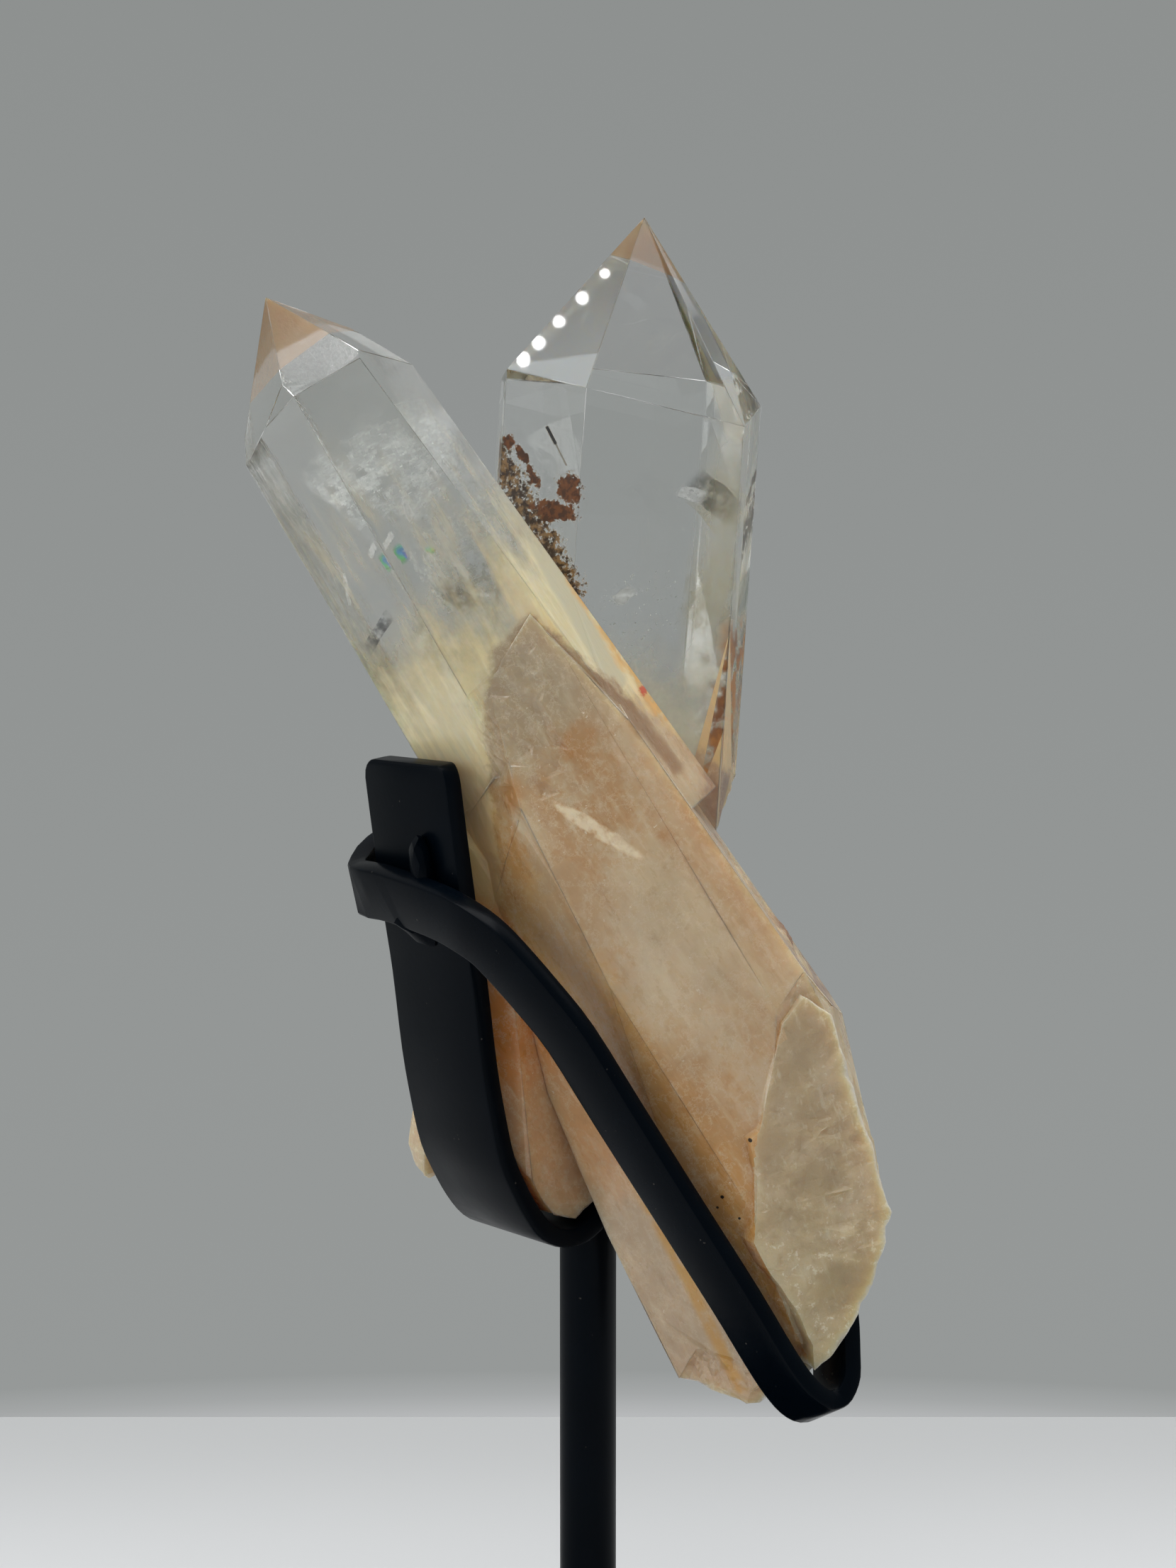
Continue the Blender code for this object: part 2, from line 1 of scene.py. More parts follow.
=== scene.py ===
"""Looks of the clear quartz twin tower in its steel display stand.

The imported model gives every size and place. This script dresses it: the grown quartz with its clear
points, cloudy foot, veils, flakes and stains, and the satin paint of the stand. Lengths are metres,
or millimetres where a name ends in _mm or a docstring says so. +Z is up, +X is the viewer's right and
+Y points away from the viewer.
"""

import functools
import logging
import math
from collections.abc import Iterable
from dataclasses import dataclass
from enum import Enum

import bmesh
import bpy
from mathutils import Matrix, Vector, noise


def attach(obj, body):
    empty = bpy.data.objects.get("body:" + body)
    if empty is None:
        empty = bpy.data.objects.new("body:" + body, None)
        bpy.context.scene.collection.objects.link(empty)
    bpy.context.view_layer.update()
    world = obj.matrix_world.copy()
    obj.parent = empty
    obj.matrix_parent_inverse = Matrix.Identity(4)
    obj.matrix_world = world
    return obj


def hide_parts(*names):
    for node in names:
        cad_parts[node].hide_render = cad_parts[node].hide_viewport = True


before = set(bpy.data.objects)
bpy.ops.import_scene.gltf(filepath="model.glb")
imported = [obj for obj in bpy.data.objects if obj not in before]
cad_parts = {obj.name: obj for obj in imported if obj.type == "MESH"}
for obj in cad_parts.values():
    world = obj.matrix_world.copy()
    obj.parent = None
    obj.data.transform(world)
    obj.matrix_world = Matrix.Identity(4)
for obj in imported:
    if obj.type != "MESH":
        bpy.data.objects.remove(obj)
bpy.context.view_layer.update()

MM = 0.001
MM_PER_M = 1000.0
LOG = logging.getLogger("quartz_twin_tower")
Point = tuple[float, float, float]
Pair = tuple[float, float]
Line = tuple[Pair, ...]
Oval = tuple[Pair, Pair, float]


class Slot(Enum):
    """The record's material slots."""

    QUARTZ = "quartz"
    CRADLE = "cradle_paint"
    BAND = "band_paint"
    POST = "post_paint"
    BASE = "base_paint"


class Region(Enum):
    """Parts of the grown cluster that have a finish of their own."""

    STONE = 0
    RIGHT_POINT = 1
    FOOT = 2


def linear(red: int, green: int, blue: int) -> Point:
    """Change a display colour to scene values.

    Args:
        red: red, 0 to 255.
        green: green, 0 to 255.
        blue: blue, 0 to 255.

    Returns:
        The three linear values.
    """
    found = []
    for part in (red, green, blue):
        share = part / 255
        found.append(share / 12.92 if share <= 0.04045 else ((share + 0.055) / 1.055) ** 2.4)
    return tuple(found)


class Wire:
    """A shader socket that adds, multiplies and compares like a number."""

    def __init__(self, sheet: "Sheet", socket: object) -> None:
        """Keep the socket and the node sheet it lives on."""
        self.sheet = sheet
        self.socket = socket

    def _math(self, operation: str, *others: object) -> "Wire":
        """Run one Math node on this socket."""
        return self.sheet.math(operation, self, *others)

    def __add__(self, other: object) -> "Wire":
        """Sum."""
        return self._math("ADD", other)

    __radd__ = __add__

    def __sub__(self, other: object) -> "Wire":
        """Difference."""
        return self._math("SUBTRACT", other)

    def __rsub__(self, other: object) -> "Wire":
        """Difference, number first."""
        return self.sheet.math("SUBTRACT", other, self)

    def __mul__(self, other: object) -> "Wire":
        """Product."""
        return self._math("MULTIPLY", other)

    __rmul__ = __mul__

    def __truediv__(self, other: object) -> "Wire":
        """Quotient."""
        return self._math("DIVIDE", other)

    def power(self, other: object) -> "Wire":
        """Raise to a power."""
        return self._math("POWER", other)

    def absolute(self) -> "Wire":
        """Drop the sign."""
        return self._math("ABSOLUTE")

    def least(self, other: object) -> "Wire":
        """Smaller of the two."""
        return self._math("MINIMUM", other)

    def most(self, other: object) -> "Wire":
        """Larger of the two."""
        return self._math("MAXIMUM", other)

    def clipped(self) -> "Wire":
        """Keep between 0 and 1."""
        return self.least(1.0).most(0.0)

    def ramp(self, low: float, high: float) -> "Wire":
        """Go smoothly from 0 at low to 1 at high; low may be the larger.

        Args:
            low: value that gives 0.
            high: value that gives 1.

        Returns:
            The smooth step.
        """
        share = ((self - low) / (high - low)).clipped()
        return share * share * (3.0 - share * 2.0)

    def toward(self, other: "Wire", share: "Wire") -> "Wire":
        """Go a share of the way to another value."""
        return self + (other - self) * share


Layer = tuple[Wire, Wire, Wire, Wire]


def largest(wires: Iterable[Wire]) -> Wire:
    """The largest of several wires."""
    return functools.reduce(Wire.most, wires)


def smallest(wires: Iterable[Wire]) -> Wire:
    """The smallest of several wires."""
    return functools.reduce(Wire.least, wires)


class Sheet:
    """The node sheet of one material."""

    def __init__(self, name: str) -> None:
        """Make an empty material."""
        self.material = bpy.data.materials.new(name)
        self.material.use_nodes = True
        self.tree = self.material.node_tree
        self.tree.nodes.clear()
        self.output = self.tree.nodes.new("ShaderNodeOutputMaterial")
        self._place: tuple[Wire, Wire, Wire] | None = None
        self._coordinates: Wire | None = None

    def _feed(self, socket: object, value: object) -> None:
        """Set a socket to a number or link it to a wire."""
        if isinstance(value, Wire):
            self.tree.links.new(value.socket, socket)
        elif isinstance(value, (tuple, list)) and len(value) == 3 and len(socket.default_value) == 4:
            socket.default_value = (*value, 1.0)
        else:
            socket.default_value = value

    def node(self, kind: str, output: object = 0, settings: dict | None = None, **inputs: object) -> Wire:
        """Add a node.

        Args:
            kind: the node's type.
            output: name or number of the output to use.
            settings: the node's own properties.
            inputs: socket values or wires, spaces in the names written as _.

        Returns:
            The chosen output as a wire.
        """
        made = self.tree.nodes.new(kind)
        for name, value in (settings or {}).items():
            setattr(made, name, value)
        for name, value in inputs.items():
            key = int(name[3:]) if name.startswith("in_") else name.replace("_", " ")
            self._feed(made.inputs[key], value)
        return Wire(self, made.outputs[output])

    def math(self, operation: str, *values: object) -> Wire:
        """Add a Math node.

        Args:
            operation: the node's operation.
            values: numbers or wires.

        Returns:
            Its result.
        """
        inputs = {f"in_{i}": value for i, value in enumerate(values)}
        return self.node("ShaderNodeMath", settings={"operation": operation}, **inputs)

    def coordinates(self) -> Wire:
        """Object coordinates in metres."""
        if self._coordinates is None:
            self._coordinates = self.node("ShaderNodeTexCoord", "Object")
        return self._coordinates

    def place(self) -> tuple[Wire, Wire, Wire]:
        """Object coordinates in millimetres, one wire an axis."""
        if self._place is None:
            split = self.tree.nodes.new("ShaderNodeSeparateXYZ")
            self.tree.links.new(self.coordinates().socket, split.inputs[0])
            self._place = tuple(Wire(self, split.outputs[i]) * MM_PER_M for i in range(3))
        return self._place

    def vector(self, x: object, y: object, z: object) -> Wire:
        """Three numbers as one vector wire."""
        return self.node("ShaderNodeCombineXYZ", X=x, Y=y, Z=z)

    def noise(self, size: float, detail: float = 3.0, at: Wire | None = None, rough: float = 0.55) -> Wire:
        """Noise between about 0 and 1.

        Args:
            size: size of one patch, in millimetres.
            detail: octaves.
            at: a place in millimetres, or none for the object's own.
            rough: weight of the fine octaves.

        Returns:
            The noise value.
        """
        scale = 1.0 / size
        place = at
        if place is None:
            place = self.coordinates()
            scale = MM_PER_M / size
        return self.node(
            "ShaderNodeTexNoise", "Fac", Vector=place, Scale=scale, Detail=detail, Roughness=rough
        )

    def blend(self, share: object, one: object, two: object) -> Wire:
        """Colour between two.

        Args:
            share: 0 for the first, 1 for the second.
            one: first colour or wire.
            two: second colour or wire.

        Returns:
            The mixed colour.
        """
        made = self.tree.nodes.new("ShaderNodeMix")
        made.data_type = "RGBA"
        self._feed(made.inputs[0], share)
        self._feed(made.inputs[6], one)
        self._feed(made.inputs[7], two)
        return Wire(self, made.outputs[2])

    def layers(self, colour: object, *coats: tuple[object, object]) -> Wire:
        """Lay colours over one another.

        Args:
            colour: the lowest colour.
            coats: how much of each further colour covers it, and that colour.

        Returns:
            The finished colour.
        """
        for share, coat in coats:
            colour = self.blend(share, colour, coat)
        return colour

    def bump(self, height: Wire, depth: float, strength: float = 1.0, under: Wire | None = None) -> Wire:
        """Small relief for the Normal socket.

        Args:
            height: the relief's height, 0 to 1.
            depth: its depth in millimetres.
            strength: the node's strength.
            under: another relief below this one.

        Returns:
            The normal.
        """
        inputs = {"Height": height, "Strength": strength, "Distance": depth * MM}
        if under is not None:
            inputs["Normal"] = under
        return self.node("ShaderNodeBump", **inputs)

    def shader(self, **inputs: object) -> Wire:
        """A Principled shader with these sockets."""
        return self.node("ShaderNodeBsdfPrincipled", **inputs)

    def mix_shaders(self, share: object, one: Wire, two: Wire) -> Wire:
        """Mix Shader of two shaders."""
        return self.node("ShaderNodeMixShader", in_0=share, in_1=one, in_2=two)

    def surface(self, shader: Wire) -> None:
        """Send the shader to the material's surface."""
        self.tree.links.new(shader.socket, self.output.inputs["Surface"])

    def depth(self, colour: Point, density: float) -> None:
        """Colour that light loses on its way through the crystal.

        Args:
            colour: the colour left.
            density: strength, per metre.
        """
        fog = self.tree.nodes.new("ShaderNodeVolumeAbsorption")
        fog.inputs["Color"].default_value = (*colour, 1.0)
        fog.inputs["Density"].default_value = density
        self.tree.links.new(fog.outputs[0], self.output.inputs["Volume"])

    def along(self, way: Pair, start: Pair = (0.0, 0.0)) -> Wire:
        """How far a place lies from a start along a way, both x and z in the front view."""
        x, _, z = self.place()
        return (x - start[0]) * way[0] + (z - start[1]) * way[1]

    def path(self, points: Line, wobble: float = 0.0) -> Wire:
        """Distance to a bent line in the front view, in millimetres.

        Args:
            points: x and z of its ends and corners.
            wobble: how far noise moves the line.

        Returns:
            The distance.
        """
        x, _, z = self.place()
        if wobble:
            x = x + (self.noise(5.0, 3.0) - 0.5) * (2 * wobble)
            z = z + (self.noise(4.1, 3.0) - 0.5) * (2 * wobble)
        legs = []
        for (x0, z0), (x1, z1) in zip(points, points[1:]):
            length = math.hypot(x1 - x0, z1 - z0)
            way_x, way_z = (x1 - x0) / length, (z1 - z0) / length
            run = ((x - x0) * way_x + (z - z0) * way_z).most(0.0).least(length)
            far_x = x - (run * way_x + x0)
            far_z = z - (run * way_z + z0)
            legs.append((far_x * far_x + far_z * far_z).power(0.5))
        return smallest(legs)

    def side_of(self, start: Pair, end: Pair) -> Wire:
        """Signed distance to a straight line in the front view, more than 0 above it.

        Args:
            start: x and z of its left end.
            end: x and z of its right end.

        Returns:
            The distance in millimetres.
        """
        dx, dz = end[0] - start[0], end[1] - start[1]
        length = math.hypot(dx, dz)
        return self.along((-dz / length, dx / length), start)

    def sides_of(self, points: Line) -> list[Wire]:
        """Signed distance to each leg of a bent line in the front view."""
        return [self.side_of(start, end) for start, end in zip(points, points[1:])]

    def spot(self, centre: Pair, halves: Pair, lean: float = 0.0) -> Wire:
        """Distance from an oval's centre in the front view, 1 at its rim.

        Args:
            centre: x and z.
            halves: half-lengths.
            lean: turn of the oval, in degrees.

        Returns:
            The distance as a share of the radius.
        """
        x, _, z = self.place()
        turn = math.radians(lean)
        dx = x - centre[0]
        dz = z - centre[1]
        one = (dx * math.cos(turn) + dz * math.sin(turn)) / halves[0]
        two = (dz * math.cos(turn) - dx * math.sin(turn)) / halves[1]
        return (one * one + two * two).power(0.5)


@dataclass(frozen=True)
class SatinPaint:
    """Navy-black satin paint on bar steel, with a slight orange peel and a few specks of dust."""

    name: str
    colour: Point = (0.0006, 0.002, 0.004)
    worn_gain: float = 1.7
    dust_colour: Point = (0.1, 0.09, 0.08)
    ior: float = 1.14
    sheen_roughness: float = 0.3
    peel_mm: float = 0.9
    peel_depth_mm: float = 0.012
    wave_mm: float = 7.0
    wave_depth_mm: float = 0.05
    wear_mm: float = 16.0
    speck_size_mm: float = 1.3
    speck_field_mm: float = 3.2

    def material(self) -> bpy.types.Material:
        """Build the paint.

        Returns:
            The material.
        """
        sheet = Sheet(self.name)
        peel = sheet.noise(self.peel_mm, 2.0)
        wave = sheet.noise(self.wave_mm, 2.0)
        scale = MM_PER_M / self.speck_size_mm
        cells = sheet.node("ShaderNodeTexVoronoi", "Distance", Vector=sheet.coordinates(), Scale=scale)
        specks = cells.ramp(0.16, 0.07) * sheet.noise(self.speck_field_mm, 2.0).ramp(0.62, 0.66)
        worn = sheet.noise(self.wear_mm, 4.0).ramp(0.45, 0.75)
        worn_colour = tuple(part * self.worn_gain for part in self.colour)
        colour = sheet.layers(self.colour, (worn * 0.5, worn_colour), (specks * 0.5, self.dust_colour))
        rough = (wave - 0.5) * 0.12 + worn * 0.05 + self.sheen_roughness + specks * 0.3
        normal = sheet.bump(peel, self.peel_depth_mm, 0.8, sheet.bump(wave, self.wave_depth_mm, 0.6))
        sheet.surface(sheet.shader(Base_Color=colour, Roughness=rough, Normal=normal, IOR=self.ior))
        return sheet.material


@dataclass(frozen=True)
class QuartzLook:
    """The grown quartz: clear where it is clean, milky and stained where it is not.

    Lines and ovals are x and z in the front view, in millimetres. An oval has its middle, its
    half-lengths and its turn in degrees.
    """

    region: Region
    ior: float = 1.544
    clear_roughness: float = 0.015
    depth_colour: Point = (0.9, 0.93, 0.88)
    depth_density: float = 12.0
    milk_share: float = 0.75
    milk_reach: float = 9.0 * MM
    milk_reach_by_colour: Point = (1.0, 0.66, 0.38)

    cream: Point = linear(226, 212, 170)
    pale_cream: Point = linear(232, 224, 194)
    band_cream: Point = linear(198, 190, 162)
    ruby: Point = linear(190, 40, 40)
    # Painted light: pale grey that lightens the right point's tip faces.
    painted_face_light: Point = linear(182, 186, 186)
    crust_brown: Point = linear(132, 84, 44)
    stain_tones: tuple = (linear(92, 50, 22), linear(146, 88, 40))
    trail_tones: tuple = (linear(44, 32, 22), linear(150, 124, 84))
    blot_tones: tuple = (linear(78, 42, 18), linear(122, 72, 30))
    crack_black: Point = (0.01, 0.01, 0.01)
    peach: Point = linear(194, 160, 120)
    rose: Point = linear(206, 184, 150)
    top_grey: Point = linear(172, 154, 124)
    ochre: Point = linear(218, 172, 108)
    deep_ochre: Point = linear(184, 134, 72)
    honey: Point = linear(178, 120, 54)
    amber: Point = linear(178, 126, 66)
    golden: Point = linear(230, 186, 122)
    white_cloud: Point = linear(228, 214, 188)
    rust: Point = linear(124, 72, 30)
    pink_foot: Point = linear(202, 158, 114)
    pale_foot: Point = linear(188, 168, 140)
    # Painted shade: deeper brown-orange for the body where the strap shades it inside the cradle.
    inner_brown: Point = linear(214, 132, 46)
    pale_rim: Point = linear(188, 157, 122)
    dash_tones: tuple = (linear(158, 118, 74), linear(220, 206, 176))
    mottle_tones: tuple = (linear(164, 126, 84), linear(216, 198, 170))
    pale_hair: Point = linear(226, 210, 182)
    vein_brown: Point = linear(120, 82, 70)
    seam_yellow: Point = linear(200, 150, 62)
    mauve: Point = linear(140, 104, 84)
    flake_white: Point = linear(232, 218, 188)
    fleck_white: Point = linear(240, 230, 212)
    grain_black: Point = (0.012, 0.009, 0.007)
    grey_stone: Point = linear(186, 163, 128)
    pale_stone: Point = linear(212, 192, 160)
    grit_tones: tuple = (linear(140, 112, 74), linear(220, 210, 184))
    olive: Point = linear(168, 152, 108)
    frost_white: Point = linear(232, 224, 200)

    left_way: Pair = (0.49, -0.87)
    left_tip: Pair = (-50.9, 250.0)
    left_inward: Pair = (0.87, 0.49)
    left_middle: Pair = (-14.0, 204.0)
    left_tip_edge: Line = ((-47.8, 237.8), (-38.9, 244.6))
    bright_band: Line = ((-18.5, 229.5), (4.5, 189.5))
    orange_streak: Line = ((-2.6, 206.0), (12.0, 183.5))
    red_spot: Oval = ((8.9, 187.9), (0.8, 1.2), 0.0)
    junction: Line = ((-14.4, 158.0), (-16.3, 186.0), (-14.8, 194.7), (-9.1, 200.3), (8.0, 186.1))

    right_way: Pair = (0.06, -1.0)
    right_tip_edge: Line = ((6.7, 257.6), (15.0, 254.8))
    crust_path: Line = ((25.5, 196.0), (20.5, 170.0))
    high_glow: Line = ((19.5, 249.0), (25.0, 231.0))
    low_glow: Line = ((24.0, 226.0), (19.0, 190.0))
    left_face: Line = ((-13.3, 239.8), (-0.3, 236.2), (9.3, 264.9))
    right_face: Line = ((9.3, 264.9), (23.0, 236.5))
    blots: tuple[Oval, ...] = (
        ((-2.9, 219.8), (1.9, 2.6), 0.0),
        ((-5.4, 216.4), (3.4, 1.5), -12.0),
        ((-8.9, 222.0), (0.8, 2.0), 20.0),
        ((-10.7, 225.6), (0.6, 1.8), 35.0),
        ((-13.0, 228.0), (0.9, 1.2), 0.0),
        ((-15.2, 227.4), (0.9, 1.6), 0.0),
    )
    stain_trail: Line = ((-16.2, 227.8), (-2.6, 204.0))
    thick_crack: Line = ((-6.6, 230.0), (-5.3, 227.5))
    thin_crack: Line = ((-5.3, 227.5), (-3.5, 223.9))

    body_way: Pair = (0.57, -0.82)
    body_across: Pair = (0.82, 0.57)
    white_drifts: tuple[Oval, ...] = (
        ((12.5, 143.0), (8.0, 19.0), 32.0),
        ((24.0, 128.0), (6.0, 12.0), 32.0),
    )
    warm_drifts: tuple[Oval, ...] = (
        ((0.0, 172.0), (9.0, 12.0), 20.0),
        ((-13.0, 163.0), (3.4, 12.0), 8.0),
    )
    orange_spots: tuple[tuple[float, Oval], ...] = (
        (1.0, ((-1.0, 181.5), (2.6, 4.6), -40.0)),
        (0.7, ((-12.0, 172.0), (2.2, 3.6), 0.0)),
        (0.8, ((11.5, 167.5), (2.0, 4.0), 30.0)),
    )
    mauve_spot: Oval = ((22.0, 169.0), (4.0, 8.0), 20.0)
    lens_flake: Oval = ((1.1, 167.0), (9.0, 1.25), -31.0)
    vein_path: Line = ((24.5, 164.0), (30.0, 153.4), (39.5, 137.0))
    seam_path: Line = ((7.5, 109.3), (14.1, 97.3), (24.5, 76.0))
    contact_path: Line = ((-4.5, 199.0), (14.0, 176.0))
    black_grains: tuple = (
        ((25.3, 118.5), 0.32),
        ((21.1, 108.9), 0.3),
        ((20.4, 107.0), 0.22),
        ((23.8, 105.6), 0.22),
    )
    foot_way: Pair = (0.3, -0.95)

    def material(self) -> bpy.types.Material:
        """Build this region's finish.

        Returns:
            The material.
        """
        sheet = Sheet(f"quartz_{self.region.name.lower()}")
        makers = {
            Region.STONE: self._stone,
            Region.RIGHT_POINT: self._right_point,
            Region.FOOT: self._foot,
        }
        cloud, colour, rough, normal = makers[self.region](sheet)
        clear = sheet.shader(
            Base_Color=(1.0, 1.0, 1.0),
            Roughness=self.clear_roughness,
            IOR=self.ior,
            Transmission_Weight=1.0,
            Normal=normal,
        )
        milky = sheet.shader(
            Base_Color=colour,
            Roughness=rough,
            IOR=self.ior,
            Subsurface_Weight=self.milk_share,
            Subsurface_Radius=self.milk_reach_by_colour,
            Subsurface_Scale=self.milk_reach,
            Normal=normal,
        )
        sheet.surface(sheet.mix_shaders(cloud.clipped(), clear, milky))
        sheet.depth(self.depth_colour, self.depth_density)
        return sheet.material

    def _grain(self, sheet: Sheet, way: Pair, long_mm: float, wide_mm: float) -> Wire:
        """Streaks drawn out along a crystal.

        Args:
            sheet: the material's sheet.
            way: x and z of the crystal's direction.
            long_mm: length of a streak.
            wide_mm: width of a streak.

        Returns:
            The streaks, 0 to 1.
        """
        _, y, _ = sheet.place()
        run = sheet.along(way) / long_mm
        side = sheet.along((way[1], -way[0])) / wide_mm
        return sheet.noise(1.0, 4.0, sheet.vector(run, side, y / wide_mm), 0.6)

    def _polish(self, sheet: Sheet) -> Wire:
        """Faint waves that hand polishing leaves on a face."""
        return sheet.bump(sheet.noise(14.0, 1.0), 0.05, 0.25)

    def _stone(self, sheet: Sheet) -> Layer:
        """The left point and the body, which run into each other along a ragged line.

        Args:
            sheet: the material's sheet.

        Returns:
            Cloudiness, colour, roughness and normal.
        """
        _, _, z = sheet.place()
        outside = largest(sheet.sides_of(self.junction))
        ragged = (sheet.noise(3.0, 6.0, rough=0.66) - 0.5) * 4.0
        zone = (outside + ragged).ramp(0.8, -0.8).most(z.ramp(158.0, 150.0))
        cloud, colour, rough, relief = self._left_point(sheet)
        body_cloud, body_colour, body_rough, body_relief = self._body(sheet)
        return (
            cloud.toward(body_cloud, zone),
            sheet.blend(zone, colour, body_colour),
            rough.toward(body_rough, zone),
            sheet.bump(relief.toward(body_relief, zone), 0.12, 0.5, self._polish(sheet)),
        )

    def _left_point(self, sheet: Sheet) -> Layer:
        """Clear point that turns cloudy cream towards its foot.

        Args:
            sheet: the material's sheet.

        Returns:
            Cloudiness, colour, roughness and height of the relief.
        """
        down = sheet.along(self.left_way, self.left_tip)
        inward = sheet.along(self.left_inward, self.left_middle).clipped()
        patch = sheet.noise(9.0, 5.0, rough=0.62)
        veil = self._grain(sheet, self.left_way, 16.0, 3.2).ramp(0.46, 0.72) * 0.3 * down.ramp(18.0, 44.0)
        threads = self._grain(sheet, self.left_way, 5.0, 1.0)
        foot = (down + (patch - 0.5) * 30.0 + inward * 8.0).ramp(50.0, 74.0)
        honeyed = (down + patch * 16.0).ramp(82.0, 104.0)
        band = sheet.path(self.bright_band, 0.4).ramp(2.2, 1.0) * (down + patch * 8.0).ramp(32.0, 62.0)
        tip = sheet.side_of(*self.left_tip_edge).ramp(-0.1, 0.1)
        streak = sheet.path(self.orange_streak, 1.2).ramp(1.7, 0.4) * sheet.noise(3.0, 4.0).ramp(0.36, 0.56)
        red = (sheet.spot(*self.red_spot) + (sheet.noise(0.9, 4.0) - 0.5) * 2.4).ramp(1.0, 0.5)
        colour = sheet.layers(
            self.cream,
            (threads.ramp(0.4, 0.7) * 0.6, self.pale_cream),
            (band, self.band_cream),
            (honeyed * 0.7, self.golden),
            (tip, self.peach),
            (streak, self.ochre),
            (red * 0.8, self.ruby),
        )
        haze = veil + foot * 0.84 + band * 0.37 + tip * 0.34 + 0.02
        rough = foot * 0.2 + patch * 0.06 + 0.02
        return haze.most(streak).most(red), colour, rough, threads

    def _right_point(self, sheet: Sheet) -> Layer:
        """Clear point with the iron stain on its left face, a crust at its foot and painted light on its
        tip faces.

        Args:
            sheet: the material's sheet.

        Returns:
            Cloudiness, colour, roughness and normal.
        """
        x, y, z = sheet.place()
        patch = sheet.noise(8.0, 5.0, rough=0.62)
        stain, stain_colour = self._stain(sheet)
        crust = sheet.path(self.crust_path, 2.0).ramp(5.0, 1.5) * sheet.noise(4.0, 5.0).ramp(0.32, 0.52)
        low_crust = (z + (patch - 0.5) * 12.0).ramp(180.0, 170.0) * 0.9
        crust = crust.most(low_crust) * z.ramp(206.0, 194.0)
        crust_colour = sheet.blend(patch.ramp(0.42, 0.6), self.crust_brown, self.honey)
        tip = sheet.side_of(*self.right_tip_edge).ramp(-0.1, 0.1)
        foot = (z + (patch - 0.5) * 18.0 + x * 0.35).ramp(202.0, 180.0)
        veil = self._grain(sheet, self.right_way, 14.0, 4.0).ramp(0.6, 0.8)
        high_glow = sheet.path(self.high_glow, 0.3).ramp(3.6, 2.2)
        low_glow = sheet.path(self.low_glow, 0.8).ramp(6.0, 1.0)
        # Painted light: a pale grey haze on the right point's two tip faces lightens them, standing in for
        # the light grey that shows through them.
        left = smallest(sheet.sides_of(self.left_face)).ramp(-0.2, 0.2) * y.ramp(8.5, 7.0)
        right = sheet.side_of(*self.right_face).ramp(-1.2, -0.6) * z.ramp(236.0, 240.0) * y.ramp(12.0, 10.0)
        faces = left * (z.ramp(258.0, 240.0) * 0.2 + 0.26) + right * 0.34
        colour = sheet.layers(
            self.pale_cream,
            # Painted light on the tip faces.
            (faces.ramp(0.1, 0.3), self.painted_face_light),
            (tip, self.peach),
            (crust, crust_colour),
            (stain, stain_colour),
        )
        haze = veil * 0.12 + foot * 0.6 + tip * 0.3 + high_glow * 0.22 + low_glow * 0.2
        rough = foot * 0.1 + stain * 0.35 + crust * 0.3 + 0.02
        normal = sheet.bump(stain.most(crust), 0.08, 0.5, self._polish(sheet))
        return haze.most(faces).most(stain).most(crust), colour, rough, normal

    def _stain(self, sheet: Sheet) -> tuple[Wire, Wire]:
        """The branching iron stain on the left face, with its speckled trail and a thin black crack.

        Args:
            sheet: the material's sheet.

        Returns:
            How much stain there is, and its colour.
        """
        x, y, _ = sheet.place()
        front = y.ramp(9.0, 4.0) * x.ramp(0.3, -0.3)
        ragged = (sheet.noise(1.6, 7.0, rough=0.74) - 0.5) * 3.4
        blots = largest((sheet.spot(*oval) + ragged).ramp(1.12, 0.94) for oval in self.blots)
        far = sheet.path(self.stain_trail, 0.6)
        speckle = sheet.noise(0.9, 6.0, rough=0.74)
        trail = (far.ramp(4.8, 0.4) * 0.3 + speckle).ramp(0.66, 0.76) * far.ramp(5.2, 3.8)
        thick = sheet.path(self.thick_crack).ramp(0.34, 0.2)
        crack = thick.most(sheet.path(self.thin_crack).ramp(0.16, 0.08) * 0.8)
        tone = sheet.noise(1.1, 5.0).ramp(0.42, 0.6)
        colour = sheet.layers(
            sheet.blend(tone, *self.stain_tones),
            (trail * 0.8, sheet.blend(tone, *self.trail_tones)),
            (blots, sheet.blend(tone, *self.blot_tones)),
            (crack, self.crack_black),
        )
        return blots.most(trail).most(crack) * front, colour

    def _body(self, sheet: Sheet) -> Layer:
        """Soft peach body: greyer at the top, ochre by the band, and browner inside the cradle as painted
        shade behind the strap.

        Args:
            sheet: the material's sheet.

        Returns:
            Cloudiness, colour, roughness and height of the relief.
        """
        dashes = self._grain(sheet, self.body_way, 7.0, 1.7)
        broad = self._grain(sheet, self.body_way, 30.0, 8.0)
        hairs = self._grain(sheet, self.body_way, 26.0, 0.7)
        patch = sheet.noise(10.0, 5.0, rough=0.6)
        drift = sheet.noise(5.0, 6.0, rough=0.66)
        mottle = sheet.noise(2.6, 6.0, rough=0.7)
        crazed = (sheet.noise(4.4, 6.0, rough=0.72) - 0.5).absolute()
        wander = (patch - 0.5) * 16.0
        down = sheet.along(self.body_way)
        across = sheet.along(self.body_across)
        by_band = (across + wander * 0.4).ramp(87.0, 82.0)
        low_band = (down + wander).ramp(-112.0, -92.0) * (across + wander * 0.5).ramp(98.0, 88.0)
        low_body = (across + wander * 0.3).ramp(77.0, 73.0)
